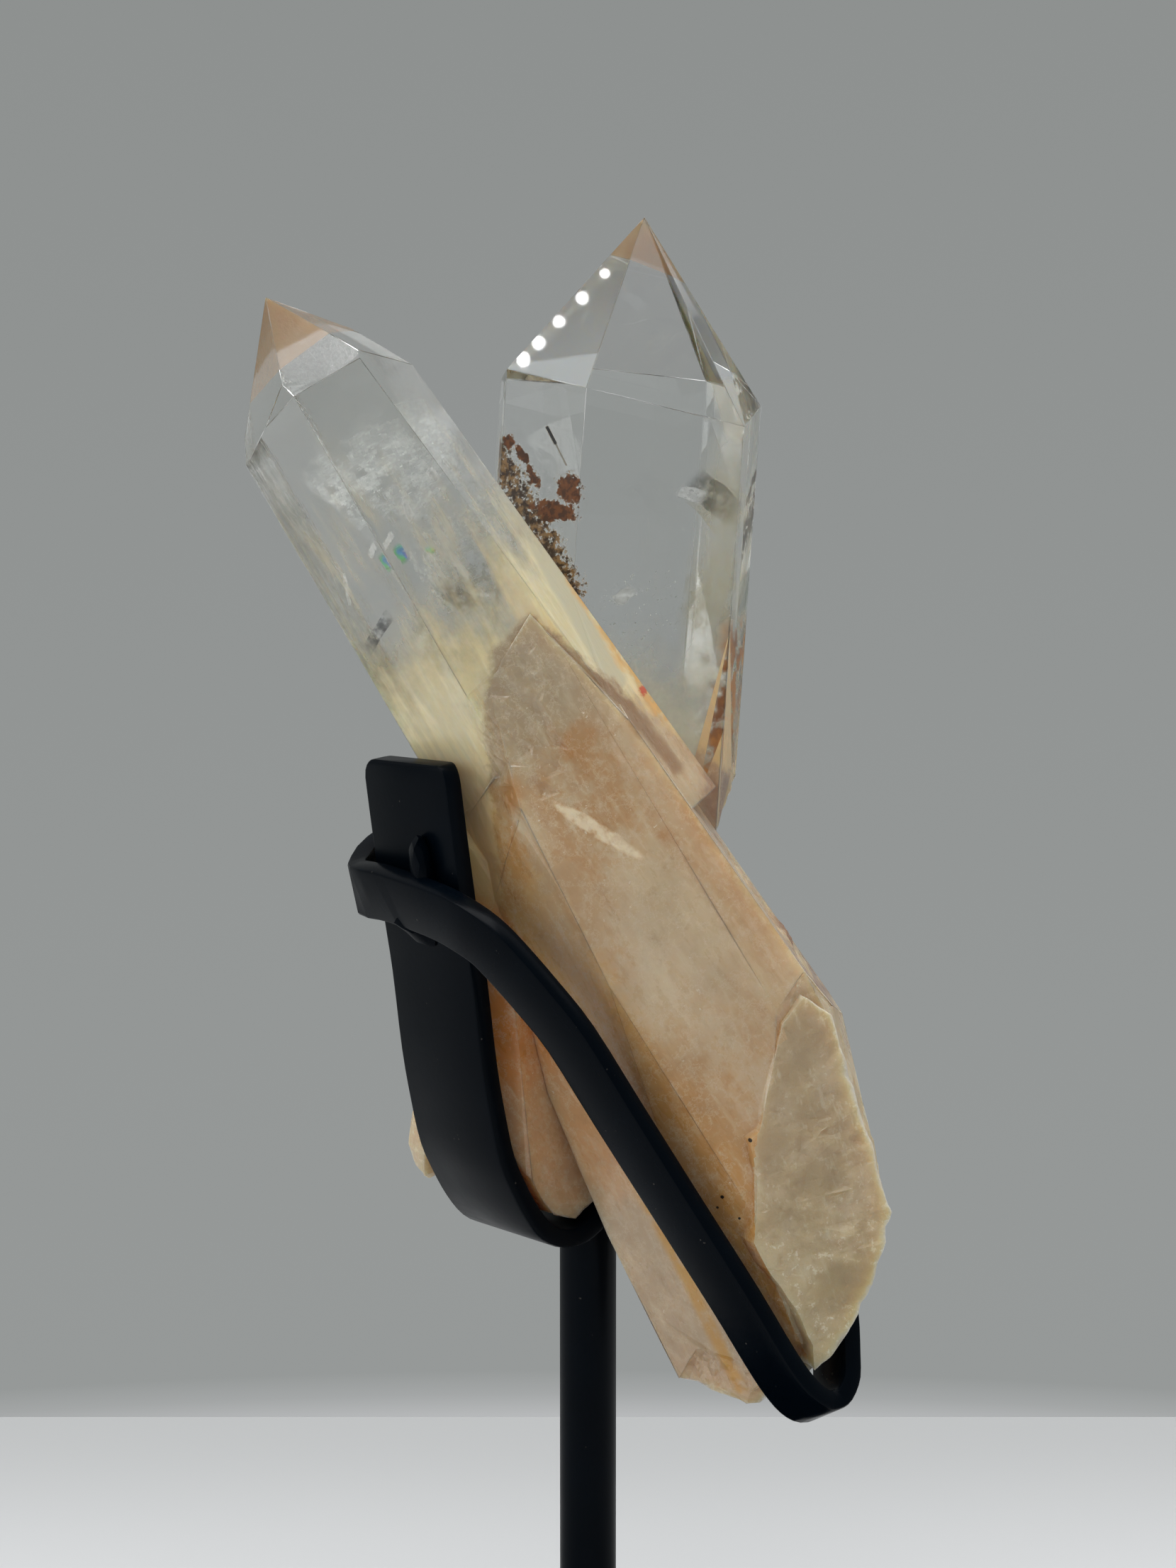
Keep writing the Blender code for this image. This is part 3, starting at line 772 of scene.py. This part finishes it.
        # Painted shade: the body inside the cradle, behind the strap, is painted deeper brown-orange.
        shade_behind_strap = low_body * (down + wander * 0.5).ramp(-104.0, -116.0)
        white = smallest(sheet.spot(*oval) for oval in self.white_drifts) + (drift - 0.5) * 1.6
        white = white.ramp(1.2, 0.5) * drift.ramp(0.34, 0.6)
        warm = smallest(sheet.spot(*oval) for oval in self.warm_drifts) + (drift - 0.5) * 2.0
        warm = warm.ramp(1.2, 0.4) * (1.0 - drift.ramp(0.44, 0.66))
        orange = largest(sheet.spot(*oval).ramp(1.2, 0.3) * share for share, oval in self.orange_spots)
        vein = sheet.path(self.vein_path, 0.8).ramp(2.0, 0.4) * sheet.noise(3.0, 4.0).ramp(0.36, 0.56)
        seam = sheet.path(self.seam_path, 0.5).ramp(1.7, 0.4) * sheet.noise(5.0, 4.0).ramp(0.3, 0.5)
        mauve = sheet.spot(*self.mauve_spot).ramp(1.3, 0.5) * patch.ramp(0.3, 0.5)
        contact = sheet.path(self.contact_path, 1.0).ramp(1.8, 0.4)
        flake = self._flake(sheet)
        flecks = sheet.noise(0.9, 3.0, rough=0.7).ramp(0.66, 0.72) * sheet.noise(6.0, 3.0).ramp(0.48, 0.6)
        grains = largest(sheet.spot(at, (size, size)).ramp(1.2, 0.8) for at, size in self.black_grains)
        colour = sheet.layers(
            self.peach,
            (broad.ramp(0.36, 0.66), self.rose),
            ((down + wander).ramp(-140.0, -158.0) * 0.8, self.top_grey),
            (by_band * 0.8, self.ochre),
            (low_band * 0.75, self.deep_ochre),
            (low_body, self.pink_foot),
            (low_body * (down + wander).ramp(-92.0, -78.0) * 0.8, self.pale_foot),
            # Painted shade behind the strap.
            (shade_behind_strap * 0.85, self.inner_brown),
            ((across + wander * 0.2).ramp(111.0, 116.0) * 0.7, self.pale_rim),
            (white * 0.36, self.white_cloud),
            (warm * 0.55, self.amber),
            (dashes.ramp(0.52, 0.74) * 0.3, self.dash_tones[1]),
            (dashes.ramp(0.44, 0.26) * 0.18, self.dash_tones[0]),
            (hairs.ramp(0.6, 0.74) * 0.12, self.pale_hair),
            (mottle.ramp(0.52, 0.7) * 0.34, self.mottle_tones[1]),
            (mottle.ramp(0.46, 0.3) * 0.26, self.mottle_tones[0]),
            (crazed.ramp(0.02, 0.0) * 0.34, self.white_cloud),
            (orange * patch.ramp(0.3, 0.55), self.honey),
            (vein * 0.75, self.vein_brown),
            (seam * 0.8, self.seam_yellow),
            (mauve * 0.8, self.mauve),
            (contact * 0.6, self.rust),
            (flake, self.flake_white),
            (flecks * 0.7, self.fleck_white),
            (grains, self.grain_black),
        )
        cloud = patch.ramp(0.7, 0.35) * 0.14 + 0.75 + dashes * 0.08 + flake + grains + vein * 0.1
        rough = (patch - 0.5) * 0.12 + 0.24 + dashes * 0.08
        return cloud, colour, rough, mottle * 0.7

    def _flake(self, sheet: Sheet) -> Wire:
        """The whitish lens-shaped flake near the top of the body."""
        lens = sheet.spot(*self.lens_flake) + (sheet.noise(2.0, 4.0) - 0.5) * 0.8
        return lens.ramp(1.05, 0.7) * sheet.noise(1.6, 5.0).ramp(0.3, 0.6) * 0.8

    def _foot(self, sheet: Sheet) -> Layer:
        """Frosted broken stone at the lower right, the bottom and the back.

        Args:
            sheet: the material's sheet.

        Returns:
            Cloudiness, colour, roughness and normal.
        """
        _, _, z = sheet.place()
        patch = sheet.noise(12.0, 5.0, rough=0.6)
        grit = sheet.noise(1.8, 6.0, rough=0.68)
        dashes = self._grain(sheet, self.foot_way, 5.0, 1.4)
        low = (z + (patch - 0.5) * 30.0).ramp(116.0, 92.0)
        flecks = sheet.noise(1.2, 4.0, rough=0.7).ramp(0.56, 0.66) * patch.ramp(0.36, 0.56)
        colour = sheet.layers(
            self.grey_stone,
            (patch.ramp(0.36, 0.64), self.pale_stone),
            (patch.ramp(0.6, 0.72) * 0.5, self.peach),
            (dashes.ramp(0.56, 0.72) * 0.5, self.grit_tones[1]),
            (grit.ramp(0.42, 0.28) * 0.3, self.grit_tones[0]),
            (low * 0.45, self.olive),
            (flecks * 0.6, self.frost_white),
        )
        coarse = sheet.bump(sheet.noise(5.0, 5.0, rough=0.7), 0.9, 0.6, self._polish(sheet))
        return patch * 0.1 + 0.84, colour, grit * 0.2 + 0.34, sheet.bump(grit, 0.34, 0.8, coarse)


@dataclass(frozen=True)
class InclusionLook:
    """A thin veil, flake or spark inside the clear quartz."""

    name: str
    colour: Point = (0.9, 0.9, 0.88)
    patch_mm: float = 3.0
    thin_at: float = 0.5
    full_at: float = 0.72
    most: float = 0.6
    roughness: float = 0.35
    metallic: float = 0.0
    rainbow: bool = False
    sparks: bool = False
    ior: float = 1.45
    spectrum: tuple[Point, ...] = (
        (0.9, 0.25, 0.2),
        (0.95, 0.8, 0.2),
        (0.25, 0.8, 0.35),
        (0.2, 0.45, 0.95),
        (0.7, 0.3, 0.9),
    )

    def material(self, middle: Pair, reach: Pair) -> bpy.types.Material:
        """Build the veil: milky matter that thins out towards its rim.

        Args:
            middle: x and z of the piece's middle.
            reach: how far it shows from there, sideways and upwards.

        Returns:
            The material.
        """
        sheet = Sheet(self.name)
        patch = sheet.noise(self.patch_mm, 6.0, rough=0.68)
        colour = self.colour
        if self.rainbow:
            colour = self._stripes(sheet, sheet.noise(3.2, 1.0) * 2.4)
        fade = sheet.spot(middle, reach).ramp(1.0, 0.3)
        alpha = patch.ramp(self.thin_at, self.full_at) * fade * self.most
        if self.sparks:
            sparks = sheet.noise(0.8, 2.0, rough=0.7).ramp(0.66, 0.7) * fade
            alpha = alpha.most(sparks)
        veil = sheet.shader(
            Base_Color=colour,
            Roughness=self.roughness,
            Metallic=self.metallic,
            Alpha=alpha.clipped(),
            IOR=self.ior,
        )
        sheet.surface(veil)
        return sheet.material

    def _stripes(self, sheet: Sheet, wheel: Wire) -> Wire:
        """Bands of spectral colour, as a thin crack in quartz shows."""
        first, *others = self.spectrum
        starts = [0.7 + index * 0.22 for index in range(len(others))]
        bands = [(wheel.ramp(start, start + 0.22), colour) for start, colour in zip(starts, others)]
        return sheet.layers(first, *bands)


def deselect_all() -> None:
    """Leave nothing selected and no active object."""
    if bpy.context.mode != "OBJECT":
        bpy.ops.object.mode_set(mode="OBJECT")
    for obj in list(bpy.context.selected_objects):
        obj.select_set(False)
    bpy.context.view_layer.objects.active = None


def take_up(obj: bpy.types.Object) -> None:
    """Select this object alone and make it active."""
    deselect_all()
    obj.select_set(True)
    bpy.context.view_layer.objects.active = obj


def apply_modifier(obj: bpy.types.Object, kind: str, **settings: object) -> None:
    """Add a modifier and apply it.

    Args:
        obj: the piece.
        kind: the modifier's type.
        settings: its values.
    """
    take_up(obj)
    made = obj.modifiers.new(kind.lower(), kind)
    for name, value in settings.items():
        setattr(made, name, value)
    bpy.ops.object.modifier_apply(modifier=made.name)


def settle(obj: bpy.types.Object) -> None:
    """Put the object's place, turn and size into its mesh."""
    take_up(obj)
    bpy.ops.object.transform_apply(location=True, rotation=True, scale=True)


def copy_of_node(node: str, name: str) -> bpy.types.Object:
    """A copy of a CAD node's mesh, its doubles merged.

    Args:
        node: the node's name.
        name: the new piece's name.

    Returns:
        The copy.
    """
    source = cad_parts[node]
    piece = bpy.data.objects.new(name, source.data.copy())
    piece.data.name = name
    bpy.context.scene.collection.objects.link(piece)
    take_up(piece)
    bpy.ops.object.mode_set(mode="EDIT")
    bpy.ops.mesh.select_all(action="SELECT")
    bpy.ops.mesh.remove_doubles(threshold=0.00001)
    bpy.ops.object.mode_set(mode="OBJECT")
    bpy.ops.mesh.customdata_custom_splitnormals_clear()
    piece.data.materials.clear()
    return piece


@dataclass
class Cluster:
    """The quartz cluster: two clear points on a cloudy body, grown together.

    Places on the stone are in millimetres, and edge sizes in metres.
    """

    facet_angle: float = math.radians(2.0)
    keen_angle: float = math.radians(9.0)
    edge_round: float = 0.22 * MM
    short_edge: float = 2.0 * MM
    chip_mm: float = 3.4
    chip_depth_mm: Pair = (0.4, 0.16)
    chip_size_mm: Pair = (4.0, 1.6)
    left_tip: Point = (-50.9, -14.0, 250.0)
    left_way: Point = (0.488, 0.0, -0.873)
    left_radius: float = 19.0
    left_back: float = 3.0
    rough_behind: float = -4.0
    right_front: float = -8.9
    right_foot: float = 180.0
    plate_edge: float = 26.0
    plate_lean: float = 0.25
    plate_lean_from: float = 117.0
    plate_waist: float = 101.0
    plate_low_edge: float = 26.8
    plate_low_lean: float = 0.43

    def build(self) -> bpy.types.Object:
        """Make the cluster from its solid and dress each region.

        Returns:
            The piece.
        """
        piece = copy_of_node("quartz_twin_tower", "grown_quartz")
        self._clean_facets(piece)
        self._round_edges(piece)
        self._break_up_rough_areas(piece)
        for region in Region:
            piece.data.materials.append(QuartzLook(region).material())
        self._sort_regions(piece)
        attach(piece, "root")
        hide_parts("quartz_twin_tower")
        LOG.info("grown_quartz: %d faces", len(piece.data.polygons))
        return piece

    def _clean_facets(self, piece: bpy.types.Object) -> None:
        """Join the triangles of each flat face, so that it reflects as one."""
        take_up(piece)
        bpy.ops.object.mode_set(mode="EDIT")
        bpy.ops.mesh.select_all(action="SELECT")
        bpy.ops.mesh.dissolve_limited(angle_limit=self.facet_angle)
        bpy.ops.object.mode_set(mode="OBJECT")

    def _select(self, piece: bpy.types.Object, faces: list[int], edges: list[int]) -> None:
        """Select these faces or edges and nothing else, ready for edit mode.

        Args:
            piece: the piece.
            faces: numbers of the faces.
            edges: numbers of the edges.
        """
        take_up(piece)
        bpy.ops.object.mode_set(mode="EDIT")
        bpy.ops.mesh.select_mode(type="FACE" if faces else "EDGE")
        bpy.ops.mesh.select_all(action="DESELECT")
        bpy.ops.object.mode_set(mode="OBJECT")
        for index in faces:
            piece.data.polygons[index].select = True
        for index in edges:
            piece.data.edges[index].select = True
        bpy.ops.object.mode_set(mode="EDIT")

    def _is_chip(self, area: float) -> bool:
        """Tell a small face of a broken area from a grown face."""
        return area < (self.chip_mm * MM) ** 2

    def _round_edges(self, piece: bpy.types.Object) -> None:
        """Take the sharpness off the edges between large faces, as handling and polish do."""
        mesh = bmesh.new()
        mesh.from_mesh(piece.data)
        keen = []
        for edge in mesh.edges:
            sides = edge.link_faces
            if len(sides) != 2 or any(self._is_chip(f.calc_area()) for f in sides):
                continue
            if edge.calc_face_angle(0.0) > self.keen_angle and edge.calc_length() > self.short_edge:
                keen.append(edge.index)
        mesh.free()
        self._select(piece, [], keen)
        bpy.ops.mesh.bevel(
            offset=self.edge_round, segments=2, profile=0.6, affect="EDGES", clamp_overlap=True
        )
        bpy.ops.object.mode_set(mode="OBJECT")
        LOG.info("rounded %d edges", len(keen))

    def _break_up_rough_areas(self, piece: bpy.types.Object) -> None:
        """Give the broken areas finer chips than the solid holds."""
        for level in range(2):
            chips = [f.index for f in piece.data.polygons if self._is_chip(f.area)]
            self._select(piece, chips, [])
            bpy.ops.mesh.subdivide(number_cuts=1)
            bpy.ops.mesh.quads_convert_to_tris()
            bpy.ops.object.mode_set(mode="OBJECT")
            self._chip(piece, self.chip_depth_mm[level], self.chip_size_mm[level])

    def _chip(self, piece: bpy.types.Object, depth: float, size: float) -> None:
        """Knock the corners of the chips in by noise.

        Args:
            piece: the piece.
            depth: deepest chip in millimetres.
            size: size of a chip in millimetres.
        """
        mesh = bmesh.new()
        mesh.from_mesh(piece.data)
        mesh.normal_update()
        for vert in mesh.verts:
            if not all(self._is_chip(f.calc_area()) for f in vert.link_faces):
                continue
            at = vert.co / MM / size
            ridge = 1.0 - abs(noise.noise(at)) * 2.0
            fine = noise.noise(at * 2.3 + Vector((7.0, 1.0, 4.0)))
            vert.co -= vert.normal * max(ridge * 0.7 + fine * 0.5, 0.0) * depth * MM
        mesh.to_mesh(piece.data)
        mesh.free()

    def region_of(self, place: Vector, area: float) -> Region:
        """Name the region that a face belongs to.

        Args:
            place: the face's middle.
            area: the face's area.

        Returns:
            Its region.
        """
        at = place / MM
        from_tip = at - Vector(self.left_tip)
        way = Vector(self.left_way)
        down = from_tip.dot(way)
        on_left = (from_tip - way * down).length < self.left_radius and at.y < self.left_back
        if at.z > self.right_foot and at.y > self.right_front and not on_left:
            return Region.RIGHT_POINT
        if self._is_chip(area) and (at.y > self.rough_behind or self._on_plate(at)):
            return Region.FOOT
        return Region.STONE

    def _on_plate(self, at: Vector) -> bool:
        """Tell whether a place in millimetres is on the broken plate at the lower right."""
        if at.z > self.plate_waist:
            return at.x > self.plate_edge + max(at.z - self.plate_lean_from, 0.0) * self.plate_lean
        return at.x > self.plate_low_edge + (self.plate_waist - at.z) * self.plate_low_lean

    def _sort_regions(self, piece: bpy.types.Object) -> None:
        """Give each face its region's finish."""
        for face in piece.data.polygons:
            face.material_index = self.region_of(face.center, face.area).value
            face.use_smooth = False


@dataclass
class Inclusions:
    """Veils, flakes and sparks inside the two clear points, placed in millimetres."""

    thickness: float = 0.08 * MM
    # Dark grey of the thin arcs drawn inside both points.
    dark_arc_grey: Point = (0.1, 0.1, 0.1)

    def _sheet(self, name: str, centre: Point, size: Point, turn: Point, waves: float) -> bpy.types.Object:
        """A thin curved sheet, closed all round.

        Args:
            name: the piece's name.
            centre: its middle, in millimetres.
            size: length, width and seed of its waves.
            turn: its turn about X, Y and Z in degrees.
            waves: height of its waves in millimetres.

        Returns:
            The sheet.
        """
        deselect_all()
        bpy.ops.mesh.primitive_grid_add(x_subdivisions=28, y_subdivisions=16, size=1.0)
        made = bpy.context.active_object
        made.name = name
        for vert in made.data.vertices:
            x, y = vert.co.x, vert.co.y
            wave = noise.noise(Vector((x * 2.2 + size[2], y * 1.7, size[2])))
            rim = 1.0 - 0.28 * (0.5 + noise.noise(Vector((math.atan2(y, x) * 1.3, size[2], 4.0))))
            vert.co = Vector((x * size[0] * rim, y * size[1] * rim, wave * waves)) * MM
        made.rotation_euler = tuple(math.radians(a) for a in turn)
        made.location = Vector(centre) * MM
        settle(made)
        apply_modifier(made, "SOLIDIFY", thickness=self.thickness, offset=0.0)
        return made

    def _add(
        self, look: InclusionLook, name: str, centre: Point, size: Point, turn: Point, waves: float
    ) -> None:
        """Make one inclusion, dress it and let it ride with the stone.

        Args:
            look: its finish.
            name: the piece's name.
            centre: its middle, in millimetres.
            size: length, width and seed of its waves.
            turn: its turn about X, Y and Z in degrees.
            waves: height of its waves in millimetres.
        """
        made = self._sheet(name, centre, size, turn, waves)
        low, high = made.bound_box[0], made.bound_box[6]
        reach = ((high[0] - low[0]) / MM / 2, (high[2] - low[2]) / MM / 2)
        made.data.materials.clear()
        made.data.materials.append(look.material((centre[0], centre[2]), reach))
        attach(made, "root")
        LOG.info("%s: %d faces", made.name, len(made.data.polygons))

    def build(self) -> None:
        """Make the veils and flakes of both points."""
        self._left_veils()
        self._right_veils()
        self._sparks()

    def _left_veils(self) -> None:
        """White veils across the left point, thicker towards its foot, and two grey wisps."""
        veil = InclusionLook("white_veil", (0.86, 0.88, 0.86), 2.4, 0.36, 0.66, 0.8, sparks=True)
        self._add(veil, "veil_left_high", (-31, -12, 223), (26, 17, 1.0), (62, 34, -20), 3.2)
        self._add(veil, "veil_left_low", (-21, -12, 208), (30, 20, 2.0), (48, 60, 8), 4.2)
        dark_wisp = InclusionLook("grey_wisp", self.dark_arc_grey, 1.6, 0.36, 0.62, 0.6, 0.8)
        self._add(dark_wisp, "wisp_left_low", (-32.8, -22, 197.4), (11, 2.2, 4.4), (90, -58, 0), 0.2)
        self._add(dark_wisp, "wisp_left_mid", (-20.5, -20, 203.0), (11, 3.4, 5.4), (90, 36, 0), 0.2)

    def _right_veils(self) -> None:
        """Cream fault plane, a cream sheet lower down that is painted glow, grey wisp and faint veils in
        the right point.
        """
        fault_and_glow = InclusionLook("cream_fault_and_glow", linear(236, 230, 204), 3.6, 0.26, 0.7, 0.6)
        self._add(fault_and_glow, "fault_right", (21.5, 7, 218), (15, 10, 4.0), (88, 42, -6), 1.4)
        # Painted glow: a cream sheet low in the right point, with the fault's finish.
        self._add(fault_and_glow, "glow_right_low", (20, 8, 202), (13, 27, 6.0), (86, 12, -8), 2.0)
        dark_wisp = InclusionLook("grey_wisp", self.dark_arc_grey, 1.8, 0.3, 0.6, 0.62, 0.8)
        self._add(dark_wisp, "wisp_right", (20.4, 4.5, 219.0), (14, 6.0, 6.4), (90, 38, 0), 0.3)
        veil = InclusionLook("thin_veil", (0.88, 0.9, 0.88), 2.2, 0.54, 0.82, 0.36, sparks=True)
        self._add(veil, "veil_right", (7, 9, 200), (24, 20, 5.0), (54, -22, 10), 4.0)

    def _sparks(self) -> None:
        """Small bright flakes that catch the light."""
        flake = InclusionLook("bright_flake", (0.96, 0.97, 0.95), 1.2, 0.2, 0.5, 0.9, 0.12)
        places = (
            ("flake_fault", (16.8, 2.6, 219.4), (6.6, 3.0, 6.0), (64, 16, 0)),
            ("flake_cluster", (5.0, 1.5, 202.8), (5.4, 3.4, 7.0), (50, -30, 12)),
            ("flake_low", (19.2, 4.0, 192.1), (2.6, 1.7, 8.0), (70, 40, 0)),
            ("flake_foot", (17.0, 3.0, 178.0), (3.4, 1.8, 8.6), (70, -40, 0)),
            ("flake_left_a", (-31.6, -18.0, 211.6), (5.0, 1.3, 9.0), (60, -64, 0)),
            ("flake_left_b", (-28.6, -18.0, 216.5), (6.4, 1.5, 10.0), (70, 66, 0)),
            ("flake_left_c", (-16.8, -18.0, 203.2), (7.0, 0.9, 11.0), (76, 2, 0)),
            ("flake_left_d", (-24.5, -18.0, 222.0), (3.4, 1.4, 12.0), (76, 50, 0)),
            ("flake_left_e", (-37.5, -16.0, 204.5), (8.0, 1.1, 15.0), (76, 82, 0)),
            ("flake_left_f", (-20.0, -19.0, 207.2), (6.0, 1.1, 16.0), (76, 48, 0)),
        )
        for name, centre, size, turn in places:
            self._add(flake, name, centre, size, turn, 0.3)
        rainbow = InclusionLook(
            "rainbow_crack", patch_mm=1.8, thin_at=0.24, full_at=0.5, most=0.8, roughness=0.2, rainbow=True
        )
        self._add(rainbow, "rainbow_a", (-29.6, -19.0, 209.6), (4.6, 1.7, 13.0), (72, 56, 0), 0.3)
        self._add(rainbow, "rainbow_b", (-24.9, -19.5, 210.2), (2.2, 1.0, 14.0), (66, 20, 0), 0.2)


@dataclass
class Stand:
    """The steel stand: cradle, holding band, post and base."""

    edge_angle: float = math.radians(28.0)

    def build(self) -> None:
        """Dress the stand's pieces."""
        finishes = {
            "cradle_strap": (Slot.CRADLE, SatinPaint("cradle_satin", sheen_roughness=0.3)),
            "holding_band": (Slot.BAND, SatinPaint("band_satin", sheen_roughness=0.24)),
            "post": (Slot.POST, SatinPaint("post_satin", sheen_roughness=0.34)),
            "base_plate": (Slot.BASE, SatinPaint("base_satin", sheen_roughness=0.36)),
        }
        for node, (slot, finish) in finishes.items():
            self._dress(node, finish)

    def _dress(self, node: str, finish: SatinPaint) -> None:
        """Paint one piece of the stand.

        Args:
            node: the CAD node.
            finish: its paint.
        """
        piece = copy_of_node(node, f"painted_{node}")
        take_up(piece)
        bpy.ops.object.shade_smooth_by_angle(angle=self.edge_angle)
        piece.data.materials.append(finish.material())
        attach(piece, "root")
        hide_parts(node)
        LOG.info("painted_%s: %d faces", node, len(piece.data.polygons))


@dataclass
class Studio:
    """Pale floor, grey air, soft lights and the camera at the photograph's angle."""

    camera_at: Point = (0.0, -0.4443, 0.2105)
    look_down: float = math.radians(5.0)
    focal_mm: float = 61.84
    sensor_mm: float = 36.0
    floor_end: float = 0.195
    floor_reach: float = 2.4
    floor_colour: Point = (0.63, 0.637, 0.645)
    floor_far_colour: Point = (0.46, 0.467, 0.47)
    floor_fade_mm: Pair = (60.0, 195.0)
    floor_roughness: float = 0.9
    # Colours of the air from straight below, 0, to straight above, 1.
    air: tuple = (
        (0.0, (0.3, 0.31, 0.31)),
        (0.32, (0.3, 0.31, 0.31)),
        (0.342, (0.52, 0.53, 0.54)),
        (0.35, (0.305, 0.318, 0.315)),
        (0.6, (0.27, 0.282, 0.278)),
        (0.8, (0.33, 0.34, 0.338)),
        (0.96, (0.85, 0.86, 0.87)),
    )
    soft_lights: tuple = (
        ("top_softbox", (0.0, -0.1, 1.2), (0.0, 0.05, 0.15), (0.9, 0.7), 8.0),
        ("front_softbox", (-0.3, -1.3, 1.6), (0.0, 0.0, 0.15), (0.9, 0.6), 1.9),
        ("left_fill", (-2.6, -1.3, 0.9), (0.0, 0.0, 0.15), (2.6, 1.4), 26.0),
        ("back_softbox", (0.9, 0.2, 1.2), (0.0, 0.0, 0.16), (1.0, 0.9), 2.2),
    )
    lamp_distance: float = 0.7
    lamp_power: float = 0.00006
    # Three corners of each tip's face in millimetres, then its lamps: the share of the way from the
    # first corner to the second and to the third, and the lamp's width in millimetres.
    lamp_spots: tuple = (
        (
            ((-50.9, -14.0, 250.0), (-45.1, -28.5, 233.7), (-35.0, -27.3, 239.6)),
            ((0.3, 0.2, 5.0), (0.27, 0.3, 5.0), (0.24, 0.4, 5.0), (0.21, 0.5, 4.0)),
        ),
        (
            ((9.3, 6.0, 264.9), (-13.3, 1.3, 239.8), (-0.3, -8.0, 236.2)),
            ((0.85, 0.08, 6.0), (0.72, 0.1, 6.0), (0.58, 0.1, 5.0), (0.4, 0.12, 5.0), (0.24, 0.12, 4.0)),
        ),
    )

    def build(self) -> None:
        """Set up the stage."""
        self._floor()
        self._lights()
        self._camera()

    def _floor(self) -> None:
        """A plain pale floor that ends behind the object, where the photograph's does."""
        deselect_all()
        bpy.ops.mesh.primitive_plane_add(size=1.0)
        floor = bpy.context.active_object
        floor.name = "floor"
        for vert in floor.data.vertices:
            vert.co.x *= self.floor_reach * 2.0
            vert.co.y = self.floor_end if vert.co.y > 0 else -self.floor_reach
        sheet = Sheet("floor_paper")
        _, y, _ = sheet.place()
        colour = sheet.blend(y.ramp(*self.floor_fade_mm), self.floor_colour, self.floor_far_colour)
        sheet.surface(sheet.shader(Base_Color=colour, Roughness=self.floor_roughness))
        floor.data.materials.append(sheet.material)

    def _lights(self) -> None:
        """An even grey air with a bright top, soft lights and a row of small ceiling lamps."""
        world = bpy.data.worlds.new("studio_air")
        world.use_nodes = True
        tree = world.node_tree
        way = tree.nodes.new("ShaderNodeTexCoord")
        split = tree.nodes.new("ShaderNodeSeparateXYZ")
        height = tree.nodes.new("ShaderNodeMapRange")
        height.inputs["From Min"].default_value = -1.0
        ramp = tree.nodes.new("ShaderNodeValToRGB")
        tree.links.new(way.outputs["Generated"], split.inputs[0])
        tree.links.new(split.outputs["Z"], height.inputs["Value"])
        tree.links.new(height.outputs[0], ramp.inputs[0])
        marks = ramp.color_ramp.elements
        while len(marks) < len(self.air):
            marks.new(0.5)
        for mark, (place, colour) in zip(marks, self.air):
            mark.position = place
            mark.color = (*colour, 1.0)
        air = tree.nodes["Background"]
        tree.links.new(ramp.outputs[0], air.inputs["Color"])
        air.inputs["Strength"].default_value = 1.0
        bpy.context.scene.world = world
        for light in self.soft_lights:
            self._area(*light)
        self._ceiling_lamps()

    def _ceiling_lamps(self) -> None:
        """Small far lamps that show as bright points in the two tips' faces."""
        for face, spots in self.lamp_spots:
            a, b, c = (Vector(corner) * MM for corner in face)
            normal = (b - a).cross(c - a).normalized()
            if normal.y > 0:
                normal.negate()
            for share_b, share_c, size in spots:
                spot = a + (b - a) * share_b + (c - a) * share_c
                look = (spot - Vector(self.camera_at)).normalized()
                way = look - normal * 2.0 * look.dot(normal)
                lamp = bpy.data.lights.new("ceiling_lamp", "AREA")
                lamp.shape = "DISK"
                lamp.size = size * MM
                lamp.energy = self.lamp_power * size * size
                obj = bpy.data.objects.new("ceiling_lamp", lamp)
                obj.location = spot + way * self.lamp_distance
                obj.rotation_euler = (-way).to_track_quat("-Z", "Y").to_euler()
                bpy.context.scene.collection.objects.link(obj)

    def _area(self, name: str, at: Point, to: Point, size: Pair, power: float) -> None:
        """Add a rectangular soft light.

        Args:
            name: its name.
            at: its place.
            to: what it points at.
            size: width and height.
            power: in watts.
        """
        lamp = bpy.data.lights.new(name, "AREA")
        lamp.shape = "RECTANGLE"
        lamp.size, lamp.size_y = size
        lamp.energy = power
        obj = bpy.data.objects.new(name, lamp)
        obj.location = at
        obj.rotation_euler = (Vector(to) - Vector(at)).to_track_quat("-Z", "Y").to_euler()
        bpy.context.scene.collection.objects.link(obj)

    def _camera(self) -> None:
        """The camera where the photograph was taken from."""
        lens = bpy.data.cameras.new("photo_view")
        lens.lens = self.focal_mm
        lens.sensor_width = self.sensor_mm
        lens.clip_start = 0.01
        camera = bpy.data.objects.new("photo_view", lens)
        camera.location = self.camera_at
        camera.rotation_euler = (math.pi / 2 - self.look_down, 0.0, 0.0)
        bpy.context.scene.collection.objects.link(camera)
        bpy.context.scene.camera = camera
        bpy.context.scene.view_settings.view_transform = "Standard"


def main() -> None:
    """Build every piece in order."""
    logging.basicConfig(level=logging.INFO, format="%(name)s: %(message)s")
    Cluster().build()
    Inclusions().build()
    Stand().build()
    Studio().build()


if __name__ == "__main__":
    main()
